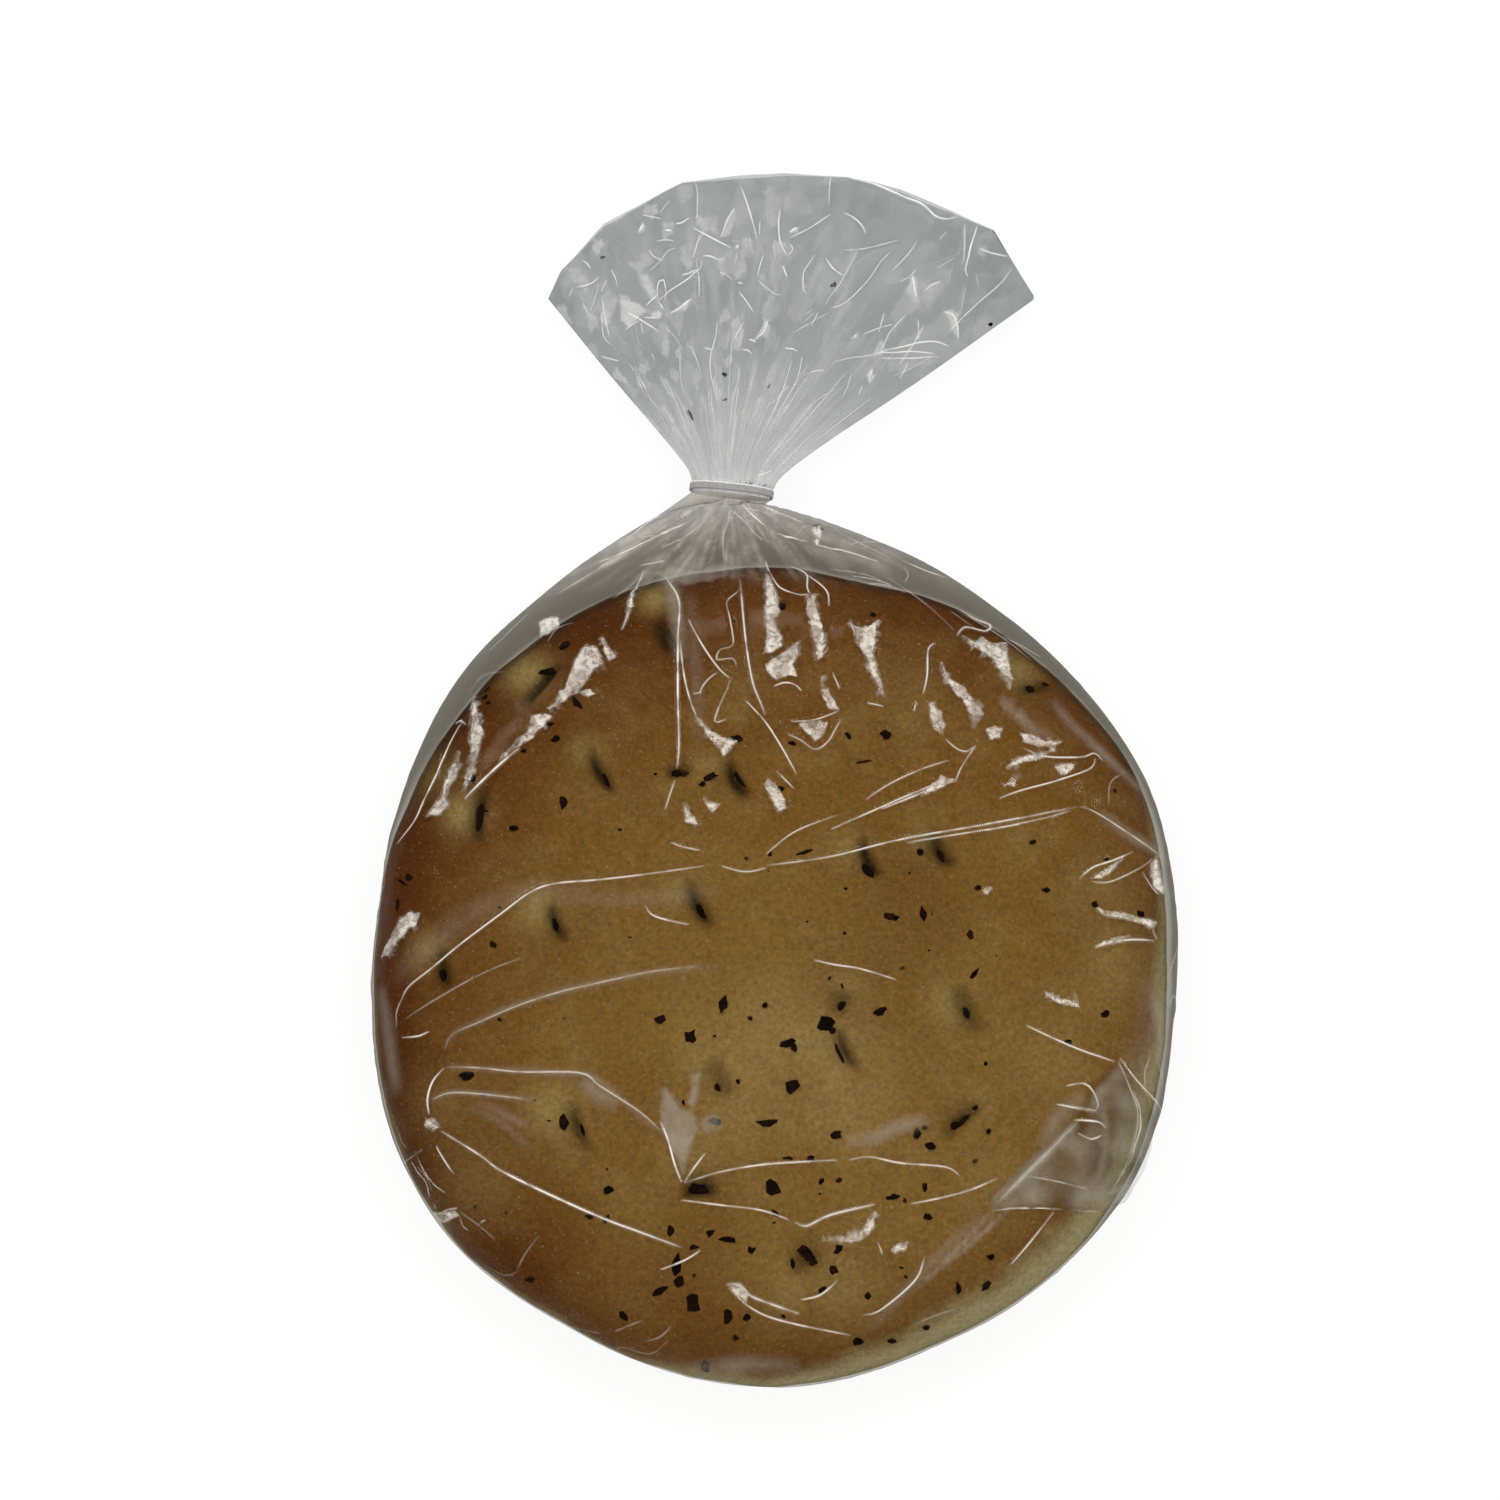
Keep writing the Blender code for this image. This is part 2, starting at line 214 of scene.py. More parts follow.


# ---------------------------------------------------------------- tables of marks, at pixels

# Fingertip dimples: the dark slit's middle, direction in degrees, length, width and darkness of its painted
# shade, then the pale spot's middle, radius and paleness.
DIMPLES = (
    (541, 684, 52, 15, 4.0, 0.95, 526, 672, 8.5, 1.0), (665, 634, 112, 13, 4.0, 0.9, 655, 598, 6.5, 1.0),
    (479, 814, 84, 15, 4.5, 0.9, 464, 812, 7.0, 1.0), (600, 771, 119, 14, 3.0, 0.95, 588, 752, 6.5, 0.6),
    (736, 778, 117, 12, 4.0, 1.0, 716, 765, 6.0, 0.5), (869, 858, 113, 11, 3.6, 1.0, 850, 848, 6.5, 0.6),
    (942, 850, 120, 10, 5.0, 0.9, 925, 838, 5.5, 0.5), (556, 922, 112, 11, 3.6, 0.85, 540, 908, 7.0, 1.0),
    (443, 969, 102, 10, 4.0, 0.8, 426, 950, 6.5, 0.7), (699, 905, 117, 13, 4.0, 0.95, 680, 890, 6.0, 0.5),
    (578, 1127, 110, 12, 3.4, 0.65, 553, 1110, 9.0, 0.9),
    (847, 1050, 116, 12, 2.8, 0.6, 818, 1046, 8.0, 0.6),
    (968, 1010, 112, 13, 5.5, 0.6, 950, 1004, 7.0, 0.9),
    (720, 1080, 112, 11, 5.0, 0.4, 706, 1066, 8.0, 0.5), (962, 1120, 40, 12, 4.4, 0.6, 975, 1100, 7.0, 0.4),
    (699, 1190, 5, 9, 5.5, 1.0, 690, 1160, 8.0, 0.5), (1034, 688, 20, 9, 4.0, 0.6, 1018, 672, 6.5, 0.9),
    (842, 1004, 60, 6, 5.0, 0.45, 850, 985, 7.0, 0.5), (806, 1262, 20, 8, 6.0, 0.45, 790, 1290, 7.5, 0.6),
    (678, 771, 10, 6, 4.0, 0.7, 668, 790, 5.0, 0.2),
)

# Spots that are baked browner, or paler where the amount is below 0: place, radius in pixels, amount.
CRUST_SPOTS = (
    (665, 645, 34, 0.6), (560, 925, 50, 0.35), (905, 876, 50, 0.6), (870, 985, 60, 0.45),
    (715, 1215, 40, 0.45), (670, 1275, 42, 0.5), (700, 1325, 45, 0.45), (540, 715, 30, 0.35),
    (1040, 715, 38, 0.5), (640, 790, 36, 0.3), (940, 930, 40, 0.3), (500, 975, 40, 0.3),
    (800, 600, 60, 0.3), (840, 1285, 38, -0.5), (1050, 1062, 48, -0.4), (1115, 965, 42, -0.5),
    (1105, 885, 40, -0.4), (440, 1100, 36, -0.3), (475, 1185, 40, -0.35), (520, 635, 30, -0.3),
    (900, 695, 50, -0.3), (740, 680, 40, -0.25), (1000, 1185, 40, -0.35), (437, 775, 26, -0.45),
)

# Herb flakes that stand out, and loose ones in the fan: place, length and width in pixels, direction.
HERB_FLAKES = (
    (606, 777, 15, 6, 112), (740, 778, 17, 8, 115), (869, 873, 18, 8, 115), (942, 853, 13, 5, 118),
    (700, 907, 16, 8, 120), (840, 1053, 18, 4, 115), (967, 1011, 11, 5, 112), (478, 816, 26, 6, 84),
    (554, 923, 11, 4, 108), (717, 1086, 9, 4, 112), (962, 1122, 20, 5, 40), (698, 1190, 19, 12, 0),
    (549, 669, 10, 8, 20), (671, 634, 16, 6, 112), (807, 1251, 13, 10, 0), (441, 973, 11, 5, 104),
    (582, 1129, 9, 4, 110), (565, 646, 11, 8, 30), (545, 670, 11, 7, 20), (487, 690, 6, 5, 0),
    (485, 698, 6, 5, 0), (489, 703, 6, 5, 0), (577, 703, 14, 6, 130), (549, 724, 8, 6, 0),
    (556, 739, 8, 6, 20), (563, 803, 11, 7, 90), (513, 828, 9, 7, 0), (516, 744, 4, 3, 0),
    (524, 751, 5, 4, 0), (676, 771, 16, 10, 0), (686, 773, 9, 8, 0), (710, 777, 16, 6, 25),
    (702, 784, 6, 5, 0), (737, 738, 9, 7, 0), (470, 779, 9, 8, 0), (782, 607, 8, 8, 0), (735, 621, 4, 3, 0),
    (792, 743, 7, 4, 160), (780, 789, 8, 6, 0), (620, 830, 5, 4, 0), (848, 735, 8, 5, 120),
    (885, 734, 10, 9, 0), (862, 762, 16, 2.5, 8), (1031, 686, 14, 10, 0), (1047, 684, 14, 3.5, 172),
    (1114, 791, 5, 4, 0), (1033, 842, 7, 5, 0), (1047, 890, 9, 5, 0), (890, 916, 12, 7, 170),
    (896, 918, 6, 6, 0), (923, 914, 13, 6, 100), (970, 935, 8, 7, 90), (1095, 905, 7, 6, 0),
    (1140, 914, 8, 6, 0), (978, 888, 7, 5, 0), (846, 889, 4, 3, 0), (806, 852, 19, 3.5, 15),
    (921, 852, 8, 7, 0), (1106, 859, 6, 5, 0), (873, 615, 5, 5, 0), (975, 975, 13, 9, 60),
    (409, 878, 7, 7, 0), (403, 883, 13, 2.5, 145), (398, 904, 13, 5, 85), (494, 945, 12, 7, 135),
    (500, 908, 5, 4, 0), (467, 1076, 17, 8, 175), (661, 1019, 10, 8, 20), (690, 1037, 14, 11, 60),
    (563, 1122, 12, 10, 90), (724, 1004, 14, 8, 80), (825, 1022, 15, 13, 30), (832, 1030, 10, 6, 120),
    (842, 1005, 10, 8, 0), (880, 1012, 13, 7, 25), (787, 1043, 13, 8, 15), (794, 1048, 9, 6, 130),
    (792, 1086, 13, 12, 0), (716, 1122, 13, 8, 10), (767, 1123, 18, 8, 5), (836, 1136, 12, 7, 10),
    (917, 1133, 10, 6, 90), (930, 1146, 8, 7, 0), (955, 1124, 9, 6, 40), (772, 1188, 15, 13, 20),
    (811, 1158, 8, 5, 0), (788, 1158, 9, 4, 0), (893, 1197, 12, 4.5, 10), (925, 1187, 9, 5, 90),
    (927, 1217, 8, 8, 0), (608, 1190, 9, 8, 0), (590, 1216, 8, 5, 0), (606, 1219, 8, 6, 30),
    (775, 1213, 9, 5, 150), (671, 1229, 13, 10, 70), (711, 1233, 13, 9, 0), (727, 1240, 16, 5, 175),
    (694, 1247, 8, 6, 0), (677, 1264, 17, 11, 85), (678, 1281, 11, 9, 0), (660, 1290, 15, 6, 25),
    (694, 1304, 16, 11, 100), (728, 1315, 15, 8, 90), (747, 1317, 7, 6, 0), (624, 1316, 10, 8, 140),
    (688, 1334, 11, 6, 150), (736, 1338, 6, 5, 0), (752, 1250, 7, 6, 0), (804, 1250, 15, 9, 0),
    (811, 1256, 12, 8, 40), (838, 1249, 9, 7, 60), (793, 1264, 8, 6, 90), (814, 1263, 8, 7, 0),
    (833, 1271, 9, 8, 0), (822, 1291, 9, 5, 45), (868, 1296, 9, 6, 0), (857, 1341, 9, 7, 0),
    (892, 1341, 7, 5, 0), (926, 1328, 6, 5, 0), (958, 1288, 10, 5, 100), (986, 1286, 13, 7, 60),
    (990, 1257, 7, 5, 0), (901, 1268, 5, 4, 0), (1105, 1014, 8, 7, 0), (1068, 1042, 6, 5, 0),
    (706, 1366, 14, 8, 90), (1068, 1135, 5, 4, 0), (765, 1005, 5, 5, 0), (750, 1018, 5, 4, 0),
    (530, 1280, 9, 5, 0), (582, 1330, 6, 5, 0), (702, 1190, 12, 9, 0), (692, 1186, 8, 7, 0),
)
LOOSE_FLAKES = (
    (603, 257, 6, 3.5, 0), (834, 286, 7, 5.5, 30), (991, 324, 6, 4.5, 30), (691, 421, 15, 3.5, 110),
    (725, 379, 6, 5, 0), (769, 389, 5, 2.5, 65), (725, 405, 5, 3, 30),
)

# Creases over the loaf and the shoulder: height, half width, strength of the painted highlight, then the
# pixels along each.
CREASES = (
    (0.5, 1.2, 0.5, (411, 1160), (419, 1173), (427, 1183), (430, 1198)),
    (0.5, 1.2, 0.45, (416, 1152), (423, 1168), (434, 1184), (446, 1193)),
    (0.6, 1.3, 0.6, (434, 1203), (440, 1211), (450, 1209), (459, 1208)),
    (0.5, 1.2, 0.5, (437, 1212), (441, 1221), (446, 1230)),
    (0.4, 1.2, 0.4, (461, 1217), (464, 1226), (470, 1230)), (0.4, 1.2, 0.4, (480, 1223), (487, 1219)),
    (0.9, 2.0, 0.71, (397, 1029), (397, 1014), (402, 1000), (409, 987), (430, 970), (460, 945),
     (500, 915), (530, 893), (555, 884), (600, 880), (650, 874), (705, 866)),
    (0.5, 1.4, 0.48, (720, 866), (745, 872), (768, 868)),
    (0.9, 1.7, 0.71, (765, 866), (830, 857), (900, 840), (1000, 822), (1078, 807)),
    (0.8, 1.5, 0.71, (905, 843), (1000, 828), (1050, 817), (1072, 810)),
    (0.6, 1.5, 0.48, (1078, 807), (1092, 811), (1130, 835), (1160, 858)),
    (0.7, 1.5, 0.48, (765, 855), (795, 832), (838, 815)),
    (0.7, 1.5, 0.71, (830, 830), (880, 808), (905, 797), (945, 781)),
    (0.8, 1.5, 0.71, (880, 810), (920, 794), (955, 781)),
    (0.6, 1.4, 0.48, (865, 800), (890, 784), (920, 770), (950, 760)),
    (0.8, 1.5, 0.48, (955, 783), (960, 770), (968, 757), (975, 747)),
    (0.9, 1.7, 0.71, (1022, 748), (1045, 757), (1080, 758), (1094, 754), (1103, 762)),
    (0.8, 1.6, 0.71, (1095, 758), (1090, 769), (1060, 780), (1020, 791), (998, 799)),
    (1.0, 1.9, 0.94, (664, 575), (679, 602), (678, 640), (678, 700), (679, 745), (677, 770)),
    (0.9, 1.6, 0.71, (680, 640), (684, 675), (690, 700), (697, 718)),
    (0.5, 1.4, 0.48, (675, 780), (665, 810)),
    (0.9, 1.6, 0.71, (688, 620), (702, 645), (718, 668), (730, 679)),
    (0.8, 1.4, 0.48, (718, 672), (708, 680), (702, 688), (700, 693), (692, 694)),
    (0.5, 1.4, 0.48, (730, 680), (727, 690), (720, 705), (715, 722), (728, 719)),
    (0.8, 1.4, 0.48, (740, 580), (739, 592), (727, 603), (730, 620), (733, 645), (720, 650), (717, 660),
     (733, 659), (737, 670)),
    (1.0, 1.8, 0.71, (740, 580), (745, 635), (752, 680), (760, 702), (766, 716)),
    (0.7, 1.4, 0.71, (745, 700), (765, 722), (780, 745), (797, 775)),
    (0.6, 1.4, 0.48, (775, 770), (795, 790)),
    (0.9, 1.6, 0.71, (765, 560), (770, 575), (780, 590), (800, 597), (820, 598)),
    (0.8, 1.4, 0.71, (790, 566), (806, 575), (807, 590), (812, 600)),
    (0.8, 1.4, 0.71, (806, 575), (826, 592), (829, 608)),
    (0.9, 1.6, 0.48, (786, 734), (800, 740), (815, 750), (828, 742), (835, 730), (842, 718)),
    (0.6, 1.4, 0.48, (790, 722), (815, 720), (840, 711)), (0.6, 1.3, 0.48, (832, 672), (840, 690)),
    (0.7, 1.3, 0.71, (773, 687), (784, 683), (795, 685), (802, 692)),
    (0.6, 1.3, 0.48, (866, 703), (885, 707)),
    (0.9, 1.6, 0.71, (936, 643), (928, 650), (927, 675), (923, 695)),
    (0.7, 1.4, 0.48, (944, 738), (955, 748), (965, 752), (976, 746)),
    (0.7, 1.3, 0.48, (916, 700), (914, 712)),
    (1.0, 1.6, 0.71, (960, 610), (975, 620), (990, 626), (985, 632), (965, 628), (956, 637)),
    (0.9, 1.6, 0.71, (1078, 880), (1092, 868), (1112, 861), (1133, 852)),
    (0.6, 1.4, 0.48, (1090, 882), (1110, 882), (1140, 868), (1153, 858)),
    (0.6, 1.3, 0.48, (1141, 871), (1149, 884), (1157, 896)),
    (1.0, 2.1, 0.71, (1096, 908), (1106, 915), (1125, 918), (1147, 926), (1157, 940)),
    (1.0, 1.9, 0.71, (1095, 948), (1110, 943), (1130, 940), (1155, 941)),
    (0.8, 1.5, 0.71, (813, 960), (835, 965), (860, 969), (897, 980)),
    (0.4, 2.4, 0.22, (405, 1020), (435, 1000), (470, 980), (500, 966), (522, 958)),
    (0.4, 2.6, 0.3, (445, 1050), (452, 1035), (480, 1022), (520, 1005), (560, 992), (590, 985),
     (650, 972), (700, 966)),
    (0.6, 2.2, 0.48, (445, 1067), (480, 1068), (520, 1072), (580, 1073), (600, 1086), (640, 1112),
     (662, 1132)),
    (0.8, 1.6, 0.94, (445, 1067), (433, 1082), (428, 1100), (430, 1115)),
    (0.5, 1.8, 0.34, (432, 1100), (450, 1093), (480, 1094), (525, 1099)),
    (1.0, 1.8, 0.94, (440, 1130), (480, 1155), (500, 1170), (540, 1190), (600, 1217), (640, 1232),
     (683, 1248)),
    (0.9, 1.5, 0.71, (436, 1145), (445, 1160), (455, 1175)),
    (0.8, 1.4, 0.71, (660, 1270), (685, 1260), (701, 1250)),
    (0.9, 1.6, 0.71, (684, 1183), (720, 1172), (760, 1165), (800, 1162), (838, 1160)),
    (0.9, 1.6, 0.71, (848, 1160), (870, 1157), (900, 1163), (945, 1167), (960, 1176)),
    (0.7, 1.5, 0.71, (680, 1200), (720, 1205), (760, 1210), (790, 1220)),
    (1.1, 2.0, 0.71, (793, 1221), (806, 1226), (830, 1215), (876, 1204)),
    (0.9, 1.6, 0.71, (910, 1204), (940, 1198), (970, 1190), (998, 1178)),
    (0.8, 1.3, 0.48, (877, 1240), (883, 1256)),
    (0.5, 1.4, 0.71, (925, 1255), (915, 1280), (880, 1310), (862, 1315)),
    (1.1, 1.8, 0.71, (726, 1284), (740, 1285), (750, 1295), (760, 1300), (800, 1314)),
    (0.9, 1.6, 0.71, (728, 1287), (750, 1307), (780, 1320), (852, 1335)),
    (0.8, 1.4, 0.71, (800, 1300), (820, 1295), (838, 1280)),
    (0.9, 1.5, 0.71, (1010, 1265), (1035, 1235), (1054, 1211)),
    (0.9, 1.6, 0.71, (1025, 1025), (1050, 1037), (1080, 1050), (1115, 1062)),
    (0.8, 1.4, 0.71, (1119, 1058), (1140, 1085), (1160, 1111)),
    (0.9, 1.6, 0.71, (1117, 1060), (1130, 1090), (1137, 1115), (1132, 1145), (1120, 1175), (1108, 1195)),
    (0.8, 1.3, 0.71, (1065, 1086), (1085, 1084), (1096, 1098), (1096, 1110), (1075, 1106)),
    (0.8, 1.4, 0.71, (1055, 1104), (1075, 1108), (1095, 1113)),
    (0.9, 1.4, 0.71, (1073, 1120), (1098, 1122), (1104, 1128)),
    (0.7, 1.5, 0.94, (682, 1183), (675, 1165), (668, 1140), (660, 1120)),
    (0.7, 1.4, 0.71, (684, 1183), (694, 1168), (706, 1152)),
    (0.9, 1.5, 0.94, (463, 722), (459, 728), (450, 745), (437, 775), (425, 800), (414, 823), (397, 845)),
    (0.6, 1.3, 0.71, (455, 724), (461, 721), (467, 726)),
    (1.1, 1.8, 0.94, (464, 800), (480, 784), (500, 765), (520, 748)),
    (1.1, 1.6, 0.71, (645, 570), (637, 588), (629, 614), (622, 632)),
    (0.7, 1.5, 0.71, (401, 1038), (420, 1036), (430, 1031)),
    (0.6, 1.3, 0.71, (645, 905), (652, 915), (670, 921), (690, 925)),
    (0.6, 1.4, 0.48, (670, 842), (682, 847), (702, 851)),
    (0.8, 1.8, 0.94, (598, 563), (640, 545), (690, 521)),
    (0.7, 1.6, 0.71, (625, 541), (650, 522), (678, 503)),
    (0.9, 1.5, 0.94, (742, 503), (752, 515), (768, 528)),
    (0.7, 1.5, 0.71, (760, 505), (790, 518), (806, 524)),
    (0.9, 1.5, 0.94, (777, 533), (790, 538), (808, 541)), (0.7, 1.6, 0.94, (640, 566), (665, 561)),
    (0.6, 1.6, 0.71, (815, 545), (850, 553), (880, 562)),
    (0.7, 1.6, 0.71, (900, 560), (925, 571), (948, 579)),
    (0.8, 1.4, 0.71, (726, 528), (728, 520), (730, 510)),
)

# Facets of the film that throw a softbox back, and carry a painted highlight too: their corners.
GLINTS = (
    ((588, 648), (597, 651), (603, 660), (604, 668), (595, 672), (587, 682), (576, 693), (565, 700),
     (556, 706), (550, 709), (555, 702), (562, 693), (568, 683), (573, 670), (579, 659)),
    ((603, 640), (608, 648), (616, 657), (609, 661), (605, 653)),
    ((534, 716), (541, 714), (552, 717), (549, 722), (541, 729), (533, 738), (522, 745), (508, 755),
     (498, 763), (505, 754), (515, 746), (526, 735), (534, 724)),
    ((578, 692), (590, 690), (595, 694), (588, 697)),
    ((541, 624), (552, 620), (560, 619), (560, 627), (548, 634), (540, 636)),
    ((636, 594), (634, 606), (629, 617), (626, 622), (629, 604)),
    ((477, 700), (480, 712), (482, 728), (480, 745), (476, 762), (470, 780), (465, 792), (468, 774),
     (471, 752), (472, 725)),
    ((459, 752), (460, 764), (455, 779), (449, 790), (446, 806), (440, 815), (429, 817), (436, 806),
     (441, 799), (445, 784), (452, 769)),
    ((1046, 994), (1060, 1000), (1074, 1000), (1076, 996), (1079, 1008), (1068, 1005), (1057, 1003)),
    ((697, 718), (706, 728), (722, 738), (736, 742), (730, 750), (724, 757), (719, 750), (708, 736)),
    ((704, 800), (719, 805), (712, 813)), ((684, 804), (692, 816), (700, 826), (686, 822)),
    ((768, 779), (776, 785), (784, 800), (786, 809), (778, 812), (770, 798), (765, 785)),
    ((766, 576), (771, 588), (779, 598), (779, 612), (772, 620), (774, 628), (780, 637), (782, 646),
     (772, 653), (766, 656), (767, 640), (766, 610)),
    ((766, 664), (776, 658), (786, 651), (799, 641), (797, 654), (792, 665), (799, 678), (789, 675),
     (777, 681), (768, 674)),
    ((806, 598), (815, 598), (817, 612), (822, 628), (825, 645), (823, 657), (817, 662), (815, 645),
     (811, 622), (807, 608)),
    ((822, 677), (827, 690), (835, 702), (838, 710), (828, 709), (823, 697)),
    ((800, 724), (812, 721), (827, 723), (823, 735), (815, 742), (808, 734)),
    ((849, 623), (858, 628), (868, 627), (877, 622), (875, 640), (873, 658), (879, 680), (884, 699),
     (873, 680), (866, 656), (857, 643)),
    ((961, 640), (975, 646), (980, 641), (990, 648), (1004, 647), (1007, 664), (1012, 680), (1010, 689),
     (1003, 675), (991, 660), (975, 652)),
    ((941, 664), (946, 675), (956, 683), (966, 690), (975, 703), (983, 714), (975, 727), (970, 712),
     (962, 700), (955, 694), (946, 681)),
    ((930, 703), (940, 711), (944, 724), (943, 734), (934, 730), (930, 718)),
    ((986, 730), (995, 727), (1003, 727), (999, 737), (990, 740)),
    ((1055, 767), (1076, 764), (1067, 773), (1061, 775)),
    ((1004, 786), (1012, 779), (1019, 775), (1013, 786)),
    ((921, 797), (930, 786), (942, 777), (955, 780), (938, 789)),
    ((1150, 866), (1155, 857), (1158, 880), (1160, 898), (1153, 888), (1151, 876)),
    ((981, 894), (986, 887), (991, 888), (986, 896)),
    ((387, 958), (392, 945), (400, 929), (404, 918), (412, 912), (420, 914), (416, 925), (408, 933),
     (400, 946), (393, 956)),
    ((822, 1240), (845, 1238), (862, 1230), (869, 1222), (876, 1213), (872, 1229), (864, 1238),
     (850, 1242)),
    ((890, 1250), (899, 1244), (908, 1242), (905, 1250), (896, 1253)),
    ((728, 1285), (740, 1286), (749, 1295), (746, 1301), (736, 1295)),
    ((812, 530), (818, 526), (821, 538), (817, 545)),
    ((1097, 908), (1104, 912), (1124, 913), (1140, 919), (1152, 924), (1148, 929), (1136, 924),
     (1122, 918), (1104, 916)),
    ((1095, 948), (1103, 942), (1118, 938), (1129, 936), (1119, 942), (1105, 945)),
    ((1092, 879), (1100, 873), (1112, 866), (1122, 859), (1113, 870), (1102, 878)),
    ((1021, 735), (1030, 736), (1045, 741), (1060, 743), (1046, 746), (1030, 745), (1023, 742)),
    ((1006, 768), (1013, 762), (1028, 756), (1043, 752), (1055, 750), (1043, 757), (1029, 761),
     (1016, 766)),
    ((426, 1118), (434, 1119), (441, 1127), (434, 1131), (427, 1125)),
    ((440, 1210), (455, 1211), (459, 1215), (450, 1219), (443, 1216)),
)

